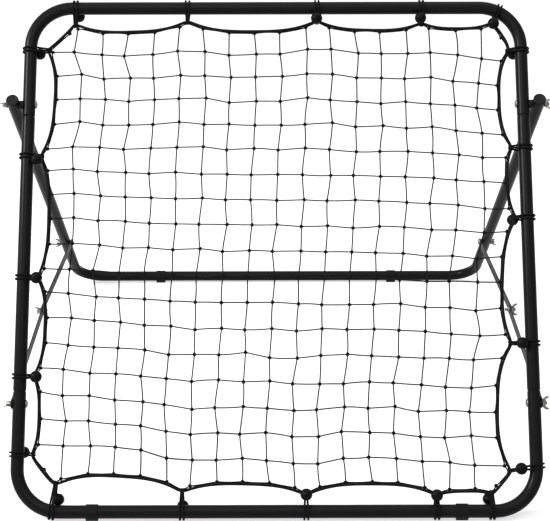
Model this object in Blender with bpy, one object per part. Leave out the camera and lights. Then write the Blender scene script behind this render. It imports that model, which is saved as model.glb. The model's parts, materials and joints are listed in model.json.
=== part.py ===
"""Folding rebounder net: a tube frame that leans on a rear support, with a knotted net held by ball ties.

Metres, +Z up. The net faces -Y and upwards, and right is +X. The origin is on the floor, midway in
width and depth. Pieces of the front frame are drawn in its own plane: x across, y up the slope, z out
of the net's front.
"""

import math

import bmesh
import bpy
import numpy as np
from mathutils import Matrix, Vector

# Front frame
FRAME_WIDTH = 1.025  # between the centre lines of the side tubes
FRAME_HEIGHT = 1.038  # between the centre lines of the top and bottom tubes
FRAME_CORNER_RADIUS = 0.085
FRAME_LEAN = math.radians(55.4)  # from the floor
TUBE_RADIUS = 0.0131
TUBE_WALL = 0.0012
SPIGOT_LENGTH = 0.045
SWAGE_TAPER = 0.002
UPPER_SEAM_DROP = 0.0235  # below the hinge bolt
LOWER_SEAM_RISE = 0.0234  # above the front stay bolt

# Rear support
HINGE_HEIGHT = 0.828  # up the side tube from the bottom tube
LEG_LENGTH = 0.906  # from the hinge bolt to the crossbar
LEG_END = 0.018  # past the hinge bolt
SUPPORT_CORNER_RADIUS = 0.070
PLUG_CAP = 0.0025
PLUG_STEM = 0.009

# Stays
LOWER_STAY_DROP = 0.617  # from the hinge bolt down the front frame
UPPER_STAY_DROP = 0.685  # from the hinge bolt down the rear leg
ELBOW_KINK = math.radians(6.6)
STAY_WIDTH = 0.020
STAY_THICKNESS = 0.0022
STAY_SPACES = 5  # between the evenly spaced holes of an upper stay
STAY_HOLE_RADIUS = 0.0034

# Fasteners
BOLT_RADIUS = 0.003
BOLT_HEAD_RADIUS = 0.008
BOLT_HEAD_HEIGHT = 0.004
BOLT_TIP = 0.002  # past the wing nut's hub
HUB_RADIUS = 0.0062
HUB_TOP_RADIUS = 0.0048
HUB_HEIGHT = 0.0080
WING_REACH = 0.0150
WING_HEIGHT = 0.0140
WING_THICKNESS = 0.0024
SADDLE_RADIUS = 0.009

# Feet
FOOT_WALL = 0.0020
FOOT_DEPTH = 0.0168  # from the tube's centre to the floor
FRONT_FOOT_SPACING = 0.726
REAR_FOOT_SPACING = 0.634
FOOT_WIDTH = 0.024

# Net, border rope and ties
NET_MESHES = 17  # each way
NET_SIDE_MARGIN = 0.041  # from the tubes' centre lines
NET_TOP_MARGIN = 0.045
NET_BOTTOM_MARGIN = 0.066
TWINE = 0.0020
ROPE_RADIUS = 0.00275
ROPE_BOW = 0.085  # how far a span of the rope bows inwards, for its length
CORNER_BOW = -0.03
ROPE_STEP = 0.05
TIE_WIDTH = 0.009
TIE_THICKNESS = 0.003
LOOP_SPREAD = 1.7  # how far a loop's corners stand out at the rope, for its thickness
BALL_RADIUS = 0.012

GAP = 0.0003
TUBE_SIDES = 16
BEND_STEPS = 5
BOLT_SIDES = 8
ROPE_SIDES = 5
BORDER_PASSES = 20

# Each tie: how far along its side it meets the rope, as a number whose whole part counts the side's
# fittings passed from its lower or left end, and how far in from the tube's centre line; its ball's
# place, along from there and in from the centre line; and whether the ball is before (1) or behind (-1)
# the net.
TIES = {
    "top": [
        (0.090, 0.036, 0.007, 0.017, -1),
        (0.319, 0.029, 0.000, 0.003, -1),
        (0.584, 0.029, 0.000, 0.022, 1),
        (0.798, 0.034, -0.001, 0.022, 1),
        (0.941, 0.036, 0.005, 0.034, 1),
    ],
    "right": [
        (2.550, 0.026, -0.007, 0.017, -1),
        (1.849, 0.027, -0.003, 0.003, -1),
        (1.610, 0.024, -0.005, 0.030, -1),
        (1.193, 0.041, 0.000, 0.019, 1),
        (0.369, 0.052, 0.004, 0.030, 1),
    ],
    "bottom": [
        (2.395, 0.034, -0.006, 0.023, -1),
        (1.932, 0.032, 0.001, 0.031, 1),
        (1.579, 0.033, 0.000, 0.033, 1),
        (1.243, 0.039, 0.002, 0.011, -1),
        (0.514, 0.054, 0.005, 0.024, -1),
    ],
    "left": [
        (0.531, 0.029, 0.007, 0.016, -1),
        (1.089, 0.028, -0.001, 0.031, 1),
        (1.413, 0.030, -0.001, 0.026, 1),
        (1.822, 0.028, -0.007, 0.019, 1),
        (2.560, 0.037, -0.007, 0.019, -1),
    ],
}

# Turn of each wing nut about its bolt, in degrees from across the net
NUT_TURNS = {
    "hinge": {"left": 35, "right": 80},
    "upper_stay": {"left": 75, "right": 15},
    "elbow": {"left": 60, "right": 70},
    "lower_stay": {"left": 10, "right": 65},
}

# Planes across the side, from the front tube outwards
SIDE_X = FRAME_WIDTH / 2
TUBE_FACE_X = SIDE_X + TUBE_RADIUS
LOWER_STAY_X = TUBE_FACE_X + GAP
UPPER_STAY_X = LOWER_STAY_X + STAY_THICKNESS + GAP
LEG_FACE_X = UPPER_STAY_X + STAY_THICKNESS + GAP
LEG_X = LEG_FACE_X + TUBE_RADIUS
LEG_OUTER_X = LEG_X + TUBE_RADIUS

# Heights in the front frame's plane
LOWER_PIVOT_HEIGHT = HINGE_HEIGHT - LOWER_STAY_DROP
UPPER_SEAM = HINGE_HEIGHT - UPPER_SEAM_DROP
LOWER_SEAM = LOWER_PIVOT_HEIGHT + LOWER_SEAM_RISE

# Axes of the front frame and the rear leg in the side view
LEG_SLOPE = math.asin(HINGE_HEIGHT * math.sin(FRAME_LEAN) / LEG_LENGTH)
UP_FRAME = Vector((0, math.cos(FRAME_LEAN), math.sin(FRAME_LEAN)))
DOWN_LEG = Vector((0, math.cos(LEG_SLOPE), -math.sin(LEG_SLOPE)))
TIE_REACH = TUBE_RADIUS + GAP + TIE_THICKNESS
BASE_DEPTH = HINGE_HEIGHT * math.cos(FRAME_LEAN) + LEG_LENGTH * math.cos(LEG_SLOPE)
FOOT_RADIUS = TUBE_RADIUS + GAP + FOOT_WALL
FRAME_FOOT = Vector((0, (TIE_REACH - FOOT_RADIUS - BASE_DEPTH) / 2, FOOT_DEPTH))
HINGE = FRAME_FOOT + HINGE_HEIGHT * UP_FRAME
LOWER_PIVOT = FRAME_FOOT + LOWER_PIVOT_HEIGHT * UP_FRAME
UPPER_PIVOT = HINGE + UPPER_STAY_DROP * DOWN_LEG

# The stays fold flat because their lengths differ by as much as their pivots' distances from the hinge
STAY_DIFFERENCE = UPPER_STAY_DROP - LOWER_STAY_DROP
STAY_SPAN = (UPPER_PIVOT - LOWER_PIVOT).length
STAY_TERM = (STAY_DIFFERENCE**2 - STAY_SPAN**2) / (2 + 2 * math.cos(ELBOW_KINK))
LOWER_STAY_LENGTH = (math.sqrt(STAY_DIFFERENCE**2 - 4 * STAY_TERM) - STAY_DIFFERENCE) / 2
UPPER_STAY_LENGTH = LOWER_STAY_LENGTH + STAY_DIFFERENCE


def elbow_point():
    """Where the two stays meet, on the hinge's side of the line between their pivots."""
    line = UPPER_PIVOT - LOWER_PIVOT
    along = (LOWER_STAY_LENGTH**2 - UPPER_STAY_LENGTH**2 + STAY_SPAN**2) / (2 * STAY_SPAN)
    away = math.sqrt(max(LOWER_STAY_LENGTH**2 - along**2, 0))
    line.normalize()
    across = Vector((0, -line.z, line.y))
    return LOWER_PIVOT + along * line + away * across


ELBOW = elbow_point()


def axes(origin, across, along):
    """A matrix that puts local x, y and z along two given directions and their cross product."""
    across = Vector(across).normalized()
    along = Vector(along).normalized()
    matrix = Matrix((across, along, across.cross(along))).transposed().to_4x4()
    matrix.translation = origin
    return matrix


FRONT_PLANE = axes(FRAME_FOOT, (1, 0, 0), UP_FRAME)
LEG_PLANE = axes(HINGE, (1, 0, 0), DOWN_LEG)


def material(name, colour, roughness, metallic=0.0):
    made = bpy.data.materials.new(name)
    made.use_nodes = True
    shader = made.node_tree.nodes["Principled BSDF"]
    shader.inputs["Base Color"].default_value = (*colour, 1)
    shader.inputs["Roughness"].default_value = roughness
    shader.inputs["Metallic"].default_value = metallic
    made.diffuse_color = (*colour, 1)
    return made


def new_mesh(name, points, faces, turn=True):
    """A mesh whose faces are turned to point outwards, where they don't already."""
    mesh = bpy.data.meshes.new(name)
    mesh.from_pydata([tuple(point) for point in points], [], faces)
    if not turn:
        return mesh
    shape = bmesh.new()
    shape.from_mesh(mesh)
    bmesh.ops.recalc_face_normals(shape, faces=shape.faces)
    shape.to_mesh(mesh)
    shape.free()
    return mesh


def new_object(name, mesh, matrix, finish, smooth=True):
    item = bpy.data.objects.new(name, mesh)
    bpy.context.scene.collection.objects.link(item)
    item.matrix_world = matrix
    if finish is not None and not mesh.materials:
        mesh.materials.append(finish)
    if smooth:
        mesh.shade_smooth()
        mesh.set_sharp_from_angle(angle=math.radians(35))
    return item


def combine(item, operation, name, mesh, matrix):
    """A Boolean of an item with a hidden helper."""
    helper = new_object(name, mesh, matrix, None, smooth=False)
    helper.hide_render = True
    helper.display_type = "WIRE"
    modifier = item.modifiers.new(name, "BOOLEAN")
    modifier.operation = operation
    modifier.solver = "EXACT"
    modifier.object = helper


def circle(radius, sides, start=0.0):
    angles = start + np.arange(sides) * 2 * math.pi / sides
    return np.stack([radius * np.cos(angles), radius * np.sin(angles)], axis=1)


def clear_of(radius, sides):
    """The corner radius of a polygon whose flats still clear a round piece of this radius."""
    return (radius + GAP) / math.cos(math.pi / sides)


def turned_mesh(name, profile, sides, closed=False):
    """A profile of (radius, height) turned about z; a closed profile makes a bored piece."""
    points = []
    rings = []
    for radius, height in profile:
        if radius == 0:
            rings.append([len(points)] * sides)
            points.append((0, 0, height))
            continue
        rings.append(list(range(len(points), len(points) + sides)))
        points += [(x, y, height) for x, y in circle(radius, sides)]
    pairs = list(zip(rings, rings[1:]))
    if closed:
        pairs.append((rings[-1], rings[0]))
    faces = []
    for low, high in pairs:
        for k in range(sides):
            corners = (low[k], low[(k + 1) % sides], high[(k + 1) % sides], high[k])
            face = tuple(dict.fromkeys(corners))
            if len(face) > 2:
                faces.append(face)
    return new_mesh(name, points, faces)


def rods_mesh(name, centres, radius, half_length, sides=BOLT_SIDES):
    """Plain rods along x through the given points."""
    points = []
    faces = []
    for centre in centres:
        for end in (-half_length, half_length):
            start = len(points)
            points += [Vector(centre) + Vector((end, y, z)) for y, z in circle(radius, sides, math.pi / sides)]
            faces.append(tuple(range(start, start + sides)))
        for k in range(sides):
            a = start - sides + k
            b = start - sides + (k + 1) % sides
            faces.append((a, b, b + sides, a + sides))
    return new_mesh(name, points, faces)


def bent_path(corners, radius):
    """Points and directions of straight runs joined by arcs of this radius, in a plane."""
    corners = [np.array(corner, float) for corner in corners]
    runs = [(b - a) / np.linalg.norm(b - a) for a, b in zip(corners, corners[1:])]
    stations = [(corners[0], runs[0])]
    for corner, into, out in zip(corners[1:], runs, runs[1:]):
        turn = math.atan2(into[0] * out[1] - into[1] * out[0], into @ out)
        start = corner - into * radius * math.tan(abs(turn) / 2)
        side = math.copysign(1, turn)
        centre = start + side * radius * np.array((-into[1], into[0]))
        for step in range(BEND_STEPS + 1):
            angle = turn * step / BEND_STEPS
            spin = np.array(((math.cos(angle), -math.sin(angle)), (math.sin(angle), math.cos(angle))))
            stations.append((centre + spin @ (start - centre), spin @ into))
    stations.append((corners[-1], runs[-1]))
    return stations


def bent_tube_mesh(name, corners, radius):
    """A hollow tube, open at both ends, along a bent path in its local plane."""
    points = []
    stations = bent_path(corners, radius)
    for bore in (TUBE_RADIUS, TUBE_RADIUS - TUBE_WALL):
        ring = circle(bore, TUBE_SIDES)
        for place, direction in stations:
            across = np.array((-direction[1], direction[0]))
            points += [(*(place + x * across), y) for x, y in ring]
    faces = []
    inner = len(stations) * TUBE_SIDES
    for k in range(TUBE_SIDES):
        n = (k + 1) % TUBE_SIDES
        for row in range(0, inner - TUBE_SIDES, TUBE_SIDES):
            for start in (row, inner + row):
                a, b = start + k, start + n
                faces.append((a, b, b + TUBE_SIDES, a + TUBE_SIDES))
        for row in (0, inner - TUBE_SIDES):
            faces.append((row + k, row + n, inner + row + n, inner + row + k))
    return new_mesh(name, points, faces)


def mirrored(corners):
    """The U-shaped path whose left half is given."""
    return corners + [(-x, y) for x, y in reversed(corners)]


def add_front_frame(steel):
    hole = clear_of(BOLT_RADIUS, BOLT_SIDES)
    top = mirrored([(-SIDE_X, UPPER_SEAM), (-SIDE_X, FRAME_HEIGHT)])
    bottom = mirrored([(-SIDE_X, LOWER_SEAM), (-SIDE_X, 0)])
    for name, path, height in (
        ("front_frame_top", top, HINGE_HEIGHT),
        ("front_frame_bottom", bottom, LOWER_PIVOT_HEIGHT),
    ):
        mesh = bent_tube_mesh(name, path, FRAME_CORNER_RADIUS)
        section = new_object(name, mesh, FRONT_PLANE, steel)
        places = [(-SIDE_X, height, 0), (SIDE_X, height, 0)]
        drill = rods_mesh(name + "_drill", places, hole, 2 * TUBE_RADIUS)
        combine(section, "DIFFERENCE", name + "_drill", drill, FRONT_PLANE)
    add_side_tubes(steel, hole)


def add_side_tubes(steel, hole):
    """Straight tubes whose swaged ends slide into the bent sections."""
    bore = TUBE_RADIUS - TUBE_WALL
    spigot = bore - GAP
    spigot_bore = spigot - TUBE_WALL
    taper_low = LOWER_SEAM + GAP + SWAGE_TAPER
    taper_high = UPPER_SEAM - GAP - SWAGE_TAPER
    profile = [
        (spigot, LOWER_SEAM - SPIGOT_LENGTH),
        (spigot, LOWER_SEAM + GAP),
        (TUBE_RADIUS, taper_low),
        (TUBE_RADIUS, taper_high),
        (spigot, UPPER_SEAM - GAP),
        (spigot, UPPER_SEAM + SPIGOT_LENGTH),
        (spigot_bore, UPPER_SEAM + SPIGOT_LENGTH),
        (spigot_bore, UPPER_SEAM - 2 * TUBE_WALL),
        (bore, taper_high - TUBE_WALL),
        (bore, taper_low + TUBE_WALL),
        (spigot_bore, LOWER_SEAM + 2 * TUBE_WALL),
        (spigot_bore, LOWER_SEAM - SPIGOT_LENGTH),
    ]
    mesh = turned_mesh("side_tube", profile, TUBE_SIDES, closed=True)
    upright = Matrix.Rotation(-math.pi / 2, 4, "X")
    for side, x in (("left", -SIDE_X), ("right", SIDE_X)):
        place = FRONT_PLANE @ Matrix.Translation((x, 0, 0))
        tube = new_object("side_tube_" + side, mesh, place @ upright, steel)
        heights = [(0, LOWER_PIVOT_HEIGHT, 0), (0, HINGE_HEIGHT, 0)]
        drill = rods_mesh("side_drill_" + side, heights, hole, 2 * TUBE_RADIUS)
        combine(tube, "DIFFERENCE", "side_drill_" + side, drill, place)


def add_rear_support(steel, plastic):
    path = mirrored([(-LEG_X, -LEG_END), (-LEG_X, LEG_LENGTH)])
    mesh = bent_tube_mesh("rear_support", path, SUPPORT_CORNER_RADIUS)
    support = new_object("rear_support", mesh, LEG_PLANE, steel)
    places = [(x, y, 0) for x in (-LEG_X, LEG_X) for y in (0, UPPER_STAY_DROP)]
    hole = clear_of(BOLT_RADIUS, BOLT_SIDES)
    drill = rods_mesh("support_drill", places, hole, 2 * TUBE_RADIUS)
    combine(support, "DIFFERENCE", "support_drill", drill, LEG_PLANE)

    stem = TUBE_RADIUS - TUBE_WALL - GAP
    profile = [
        (0, GAP + PLUG_CAP),
        (0.75 * TUBE_RADIUS, GAP + 0.85 * PLUG_CAP),
        (TUBE_RADIUS, GAP + 0.4 * PLUG_CAP),
        (TUBE_RADIUS, GAP),
        (stem, GAP),
        (stem, -PLUG_STEM),
        (0, -PLUG_STEM),
    ]
    plug = turned_mesh("leg_plug", profile, TUBE_SIDES)
    outwards = Matrix.Rotation(math.pi / 2, 4, "X")
    for side, x in (("left", -LEG_X), ("right", LEG_X)):
        place = LEG_PLANE @ Matrix.Translation((x, -LEG_END, 0))
        new_object("leg_plug_" + side, plug, place @ outwards, plastic)


def add_saddles(plastic):
    """Curved spacers, flat where a pair meets and hollowed to the tube that each sits on."""
    flat = TUBE_RADIUS + (LEG_FACE_X - TUBE_FACE_X) / 2 - GAP / 2
    bore = clear_of(BOLT_RADIUS, BOLT_SIDES)
    sides = 2 * BOLT_SIDES
    start = 0.3 * TUBE_RADIUS
    profile = [(SADDLE_RADIUS, start), (SADDLE_RADIUS, flat), (bore, flat), (bore, start)]
    saddle = turned_mesh("saddle", profile, sides, closed=True)
    seat = rods_mesh("saddle_seat", [(0, 0, 0)], TUBE_RADIUS + GAP, 3 * SADDLE_RADIUS, TUBE_SIDES)
    along = Matrix.Rotation(math.pi / 2, 4, "Z")
    for side, sign in (("left", -1), ("right", 1)):
        for name, x, facing, direction in (
            ("front_saddle_", SIDE_X, sign, UP_FRAME),
            ("rear_saddle_", LEG_X, -sign, DOWN_LEG),
        ):
            out = Vector((facing, 0, 0))
            origin = Vector((sign * x, HINGE.y, HINGE.z))
            place = axes(origin, direction.cross(out), direction)
            item = new_object(name + side, saddle, place, plastic)
            combine(item, "DIFFERENCE", name + side + "_seat", seat, place @ along)


def bar_mesh(name, length, inner_x, holes):
    """A flat bar with round ends, from a pivot at the origin to one at this length along y."""
    radius = STAY_WIDTH / 2
    steps = 6
    outline = []
    for centre, start in ((0, math.pi), (length, 0)):
        for step in range(steps + 1):
            angle = start + math.pi * step / steps
            outline.append((centre + radius * math.sin(angle), radius * math.cos(angle)))
    points = [(x, y, z) for x in (inner_x, inner_x + STAY_THICKNESS) for y, z in outline]
    count = len(outline)
    faces = [tuple(range(count)), tuple(range(2 * count - 1, count - 1, -1))]
    faces += [(k, (k + 1) % count, count + (k + 1) % count, count + k) for k in range(count)]
    mesh = new_mesh(name, points, faces)
    drill = rods_mesh(name + "_drill", holes, STAY_HOLE_RADIUS, 4 * STAY_THICKNESS)
    return mesh, drill


def add_stays(steel):
    for side, sign in (("left", -1), ("right", 1)):
        for name, pivot, length, inner, spaces in (
            ("lower_stay_", LOWER_PIVOT, LOWER_STAY_LENGTH, LOWER_STAY_X, 1),
            ("upper_stay_", UPPER_PIVOT, UPPER_STAY_LENGTH, UPPER_STAY_X, STAY_SPACES),
        ):
            start = inner if sign > 0 else -inner - STAY_THICKNESS
            middle = start + STAY_THICKNESS / 2
            holes = [(middle, length * k / spaces, 0) for k in range(spaces + 1)]
            mesh, drill = bar_mesh(name + side, length, start, holes)
            place = axes(pivot, (1, 0, 0), ELBOW - pivot)
            bar = new_object(name + side, mesh, place, steel)
            combine(bar, "DIFFERENCE", name + side + "_drill", drill, place)


def bolt_mesh(name, length):
    """A mushroom-head bolt, its shank going down from the origin."""
    head = BOLT_HEAD_RADIUS
    profile = [
        (0, BOLT_HEAD_HEIGHT),
        (0.55 * head, 0.85 * BOLT_HEAD_HEIGHT),
        (head, 0.3 * BOLT_HEAD_HEIGHT),
        (head, 0),
        (BOLT_RADIUS, 0),
        (BOLT_RADIUS, -length),
        (0, -length),
    ]
    return turned_mesh(name, profile, BOLT_SIDES)


def wing_nut_mesh():
    """A wing nut on the origin: a tapered hub, a pair of wings and a bore, joined and cut once."""
    hub = [(0, 0), (HUB_RADIUS, 0), (HUB_TOP_RADIUS, HUB_HEIGHT), (0, HUB_HEIGHT)]
    nut = new_object("wing_nut_form", turned_mesh("wing_nut_form", hub, BOLT_SIDES), Matrix(), None)
    half = [
        (0.0, 0.14 * WING_HEIGHT),
        (0.40 * WING_REACH, 0.14 * WING_HEIGHT),
        (0.86 * WING_REACH, 0.50 * WING_HEIGHT),
        (WING_REACH, 0.86 * WING_HEIGHT),
        (0.84 * WING_REACH, WING_HEIGHT),
        (0.58 * WING_REACH, 0.70 * WING_HEIGHT),
        (0.28 * WING_REACH, 0.46 * WING_HEIGHT),
    ]
    outline = half + [(-x, z) for x, z in reversed(half[1:])]
    count = len(outline)
    points = [(x, y, z) for y in (-WING_THICKNESS / 2, WING_THICKNESS / 2) for x, z in outline]
    faces = [tuple(range(count)), tuple(range(2 * count - 1, count - 1, -1))]
    faces += [(k, (k + 1) % count, count + (k + 1) % count, count + k) for k in range(count)]
    combine(nut, "UNION", "wings", new_mesh("wings", points, faces), Matrix())
    bore = rods_mesh("nut_bore", [(0, 0, 0)], clear_of(BOLT_RADIUS, BOLT_SIDES), 2 * HUB_HEIGHT)
    combine(nut, "DIFFERENCE", "nut_bore", bore, Matrix.Rotation(math.pi / 2, 4, "Y"))
    bpy.context.view_layer.update()
    made = bpy.data.meshes.new_from_object(nut.evaluated_get(bpy.context.evaluated_depsgraph_get()))
    for helper in (nut, bpy.data.objects["wings"], bpy.data.objects["nut_bore"]):
        bpy.data.objects.remove(helper)
    return made


def add_fasteners(zinc):
    """Each bolt has its head inside and its wing nut outside; an elbow bolt is in two, one on each stay."""
    head_x = SIDE_X - TUBE_RADIUS - GAP
    stack = HUB_HEIGHT + GAP + BOLT_TIP
    places = {
        "hinge": (HINGE, head_x, LEG_OUTER_X),
        "upper_stay": (UPPER_PIVOT, UPPER_STAY_X - GAP, LEG_OUTER_X),
        "lower_stay": (LOWER_PIVOT, head_x, LOWER_STAY_X + STAY_THICKNESS),
        "elbow": (ELBOW, LOWER_STAY_X - GAP, UPPER_STAY_X + STAY_THICKNESS),
    }
    nut = wing_nut_mesh()
    for name, (centre, start, nut_seat) in places.items():
        split = name == "elbow"
        end = LOWER_STAY_X + STAY_THICKNESS if split else nut_seat + stack
        bolt = bolt_mesh(name + "_bolt", end - start)
        for side, sign in (("left", -1), ("right", 1)):
            inwards = Vector((-sign, 0, 0))
            place = axes((sign * start, centre.y, centre.z), (0, 1, 0), inwards.cross((0, 1, 0)))
            new_object(name + ("_bolt_head_" if split else "_bolt_") + side, bolt, place, zinc)
            if split:
                tip = [(0, 0), (BOLT_RADIUS, 0), (BOLT_RADIUS, nut_seat + stack - UPPER_STAY_X)]
                tip.append((0, tip[-1][1]))
                shank = turned_mesh("elbow_bolt_tip", tip, BOLT_SIDES)
                seat = axes((sign * UPPER_STAY_X, centre.y, centre.z), (0, 1, 0), (-inwards).cross((0, 1, 0)))
                new_object("elbow_bolt_tip_" + side, shank, seat, zinc)
            seat = axes((sign * (nut_seat + GAP), centre.y, centre.z), (0, 1, 0), (-inwards).cross((0, 1, 0)))
            turn = Matrix.Rotation(math.radians(NUT_TURNS[name][side]), 4, "Z")
            new_object(name + "_wing_nut_" + side, nut, seat @ turn, zinc)


def foot_mesh():
    """A rubber sleeve with a flat pad below, along x."""
    inner = circle(clear_of(TUBE_RADIUS, TUBE_SIDES), TUBE_SIDES)
    outer = circle(FOOT_RADIUS, TUBE_SIDES)
    lowest = TUBE_SIDES * 3 // 4
    for k in (lowest - 1, lowest, lowest + 1):
        outer[k] = (outer[k][0] / -outer[k][1] * FOOT_DEPTH, -FOOT_DEPTH)
    points = [(x, y, z) for x in (-FOOT_WIDTH / 2, FOOT_WIDTH / 2) for ring in (outer, inner) for y, z in ring]
    faces = []
    for k in range(TUBE_SIDES):
        n = (k + 1) % TUBE_SIDES
        rows = [k, k + TUBE_SIDES, k + 3 * TUBE_SIDES, k + 2 * TUBE_SIDES]
        ends = [n, n + TUBE_SIDES, n + 3 * TUBE_SIDES, n + 2 * TUBE_SIDES]
        for a in range(4):
            b = (a + 1) % 4
            faces.append((rows[a], ends[a], ends[b], rows[b]))
    return new_mesh("foot", points, faces)


def add_feet(rubber):
    foot = foot_mesh()
    crossbar = HINGE + LEG_LENGTH * DOWN_LEG
    for name, spacing, centre in (
        ("front_foot_", FRONT_FOOT_SPACING, FRAME_FOOT),
        ("rear_foot_", REAR_FOOT_SPACING, crossbar),
    ):
        for side, sign in (("left", -1), ("right", 1)):
            place = Matrix.Translation(centre + Vector((sign * spacing / 2, 0, 0)))
            new_object(name + side, foot, place, rubber)


def edge_places():
    """For each side of the frame: its lower or left end, the ways along and in, and its fittings' places."""
    foot = FRONT_FOOT_SPACING / 2
    heights = (0, LOWER_PIVOT_HEIGHT, HINGE_HEIGHT, FRAME_HEIGHT)
    return {
        "top": ((0, FRAME_HEIGHT), (1, 0), (0, -1), (-SIDE_X, SIDE_X)),
        "right": ((SIDE_X, 0), (0, 1), (-1, 0), heights),
        "bottom": ((0, 0), (1, 0), (0, 1), (-SIDE_X, -foot, foot, SIDE_X)),
        "left": ((-SIDE_X, 0), (0, 1), (1, 0), heights),
    }


def tube_point(place):
    """The nearest point of the frame's centre line to a point inside it."""
    x, y = place[0], place[1] - FRAME_HEIGHT / 2
    centre = np.array((SIDE_X, FRAME_HEIGHT / 2)) - FRAME_CORNER_RADIUS
    beyond = np.abs((x, y)) - centre
    sign = np.sign((x, y))
    if min(beyond) > 0:
        nearest = centre + beyond / np.linalg.norm(beyond) * FRAME_CORNER_RADIUS
        nearest *= sign
    elif beyond[0] > beyond[1]:
        nearest = np.array((sign[0] * SIDE_X, y))
    else:
        nearest = np.array((x, sign[1] * FRAME_HEIGHT / 2))
    return nearest + (0, FRAME_HEIGHT / 2)


def tie_points():
    """Every tie in order round the frame: name, tube point, rope point and ball place."""
    made = []
    for side, (end, along, inwards, fittings) in edge_places().items():
        end, along, inwards = np.array(end), np.array(along), np.array(inwards)
        for number, (passed, inset, ball_along, ball_inset, front) in enumerate(TIES[side], 1):
            place = np.interp(passed, range(len(fittings)), fittings)
            rope = end + place * along + inset * inwards
            ball = rope + ball_along * along + (ball_inset - inset) * inwards
            made.append((f"tie_{side}_{number}", tube_point(rope), rope, ball, front))
    return made


def rope_points(ties):
    """The border rope: flat where a tie holds it, and bowed inwards between ties."""
    held = TIE_WIDTH / 2 + ROPE_RADIUS
    holds = []
    for name, tube, rope, ball, front in ties:
        away = (rope - tube) / np.linalg.norm(rope - tube)
        clockwise = np.array((-away[1], away[0]))
        holds.append((name.split("_")[1], rope - held * clockwise, rope + held * clockwise))
    points = []
    for (side, before, start), (next_side, end, after) in zip(holds, holds[1:] + holds[:1]):
        span = end - start
        length = np.linalg.norm(span)
        bow = ROPE_BOW if side == next_side else CORNER_BOW
        inwards = np.array((span[1], -span[0])) / length
        steps = max(2, round(length / ROPE_STEP))
        points += [before]
        for step in range(steps):
            share = step / steps
            depth = bow * length * (1 - abs(2 * share - 1) ** 3.5)
            points.append(start + share * span + depth * inwards)
    return np.array(points)


def loop_mesh(name, places, outwards, section):
    """A closed ring: a section of (out, along) offsets carried round places in a plane of x and y."""
    count = len(section)
    points = []
    for place, out in zip(places, outwards):
        points += [(*(place + a * out), b) for a, b in section]
    total = len(points)
    faces = []
    for row in range(0, total, count):
        for k in range(count):
            n = (k + 1) % count
            faces.append((row + k, row + n, (row + count + n) % total, (row + count + k) % total))
    return new_mesh(name, points, faces)


def corner_directions(places):
    """The outward mitre direction at each corner of a closed clockwise path, for unit thickness."""
    into = places - np.roll(places, 1, axis=0)
    into /= np.linalg.norm(into, axis=1)[:, None]
    normal = np.stack([-into[:, 1], into[:, 0]], axis=1)
    both = normal + np.roll(normal, -1, axis=0)
    return both / (np.linalg.norm(both, axis=1) ** 2 / 2)[:, None]


def add_border_rope(points, cord):
    section = circle(ROPE_RADIUS, ROPE_SIDES, math.pi)
    mesh = loop_mesh("border_rope", points, corner_directions(points), section)
    new_object("border_rope", mesh, FRONT_PLANE, cord)


def tie_mesh(name, distance):
    """An elastic loop round the tube, at the origin, and the rope, this far along x."""
    tube = TUBE_RADIUS + GAP + TIE_THICKNESS / 2
    rope = ROPE_RADIUS + GAP + TIE_THICKNESS / 2
    lean = math.acos((tube - rope) / distance)
    places = []
    for radius, x, start, sweep, steps in (
        (tube, 0, -lean, -2 * (math.pi - lean), 6),
        (rope, distance, lean, -2 * lean, 3),
    ):
        step = sweep / steps
        reach = radius / math.cos(step / 2)
        for k in range(steps + 1):
            angle = start + k * step
            places.append((x + reach * math.cos(angle), reach * math.sin(angle)))
    places = np.array(places)
    out, across = TIE_THICKNESS / 2, TIE_WIDTH / 2
    section = [(out, -across), (out, across), (-out, across), (-out, -across)]
    return loop_mesh(name, places, corner_directions(places), section)


def ball_mesh(name):
    shape = bmesh.new()
    bmesh.ops.create_icosphere(shape, subdivisions=2, radius=BALL_RADIUS)
    mesh = bpy.data.meshes.new(name)
    shape.to_mesh(mesh)
    shape.free()
    return mesh


def add_ties(ties, elastic):
    """Each tie is one piece: the loop's ends are held in its ball."""
    ball = ball_mesh("ball")
    for name, tube, rope, centre, front in ties:
        distance = np.linalg.norm(rope - tube)
        away = (rope - tube) / distance
        # Local x runs from the tube to the rope, y out of the net's front
        local = axes((*tube, 0), (*away, 0), (0, 0, 1))
        place = FRONT_PLANE @ local
        item = new_object(name, tie_mesh(name, distance), place, elastic)
        along = np.array((away[1], -away[0]))
        reach = (centre - tube) @ away
        offset = max(-0.6 * BALL_RADIUS, min(0.6 * BALL_RADIUS, (centre - tube) @ along))
        tube_clear = TUBE_RADIUS + BALL_RADIUS + 3 * GAP
        rope_clear = ROPE_RADIUS + BALL_RADIUS + GAP
        lift = max(
            math.sqrt(max(tube_clear**2 - reach**2, 0)),
            math.sqrt(max(rope_clear**2 - (distance - reach) ** 2, 0)),
        )
        if reach + BALL_RADIUS > distance:
            lift = max(lift, BALL_RADIUS + TWINE / 2 + GAP)
        seat = place @ Matrix.Translation((reach, front * lift, offset))
        combine(item, "UNION", name + "_ball", ball, seat)


def crossing(points, axis, level, positive):
    """Where the closed rope crosses a level of x or y, on the asked side."""
    other = 1 - axis
    places = []
    for a, b in zip(points, np.roll(points, -1, axis=0)):
        if (a[axis] - level) * (b[axis] - level) <= 0 and a[axis] != b[axis]:
            places.append(a + (level - a[axis]) / (b[axis] - a[axis]) * (b - a))
    choose = max if positive else min
    return choose(places, key=lambda place: place[other])


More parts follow.
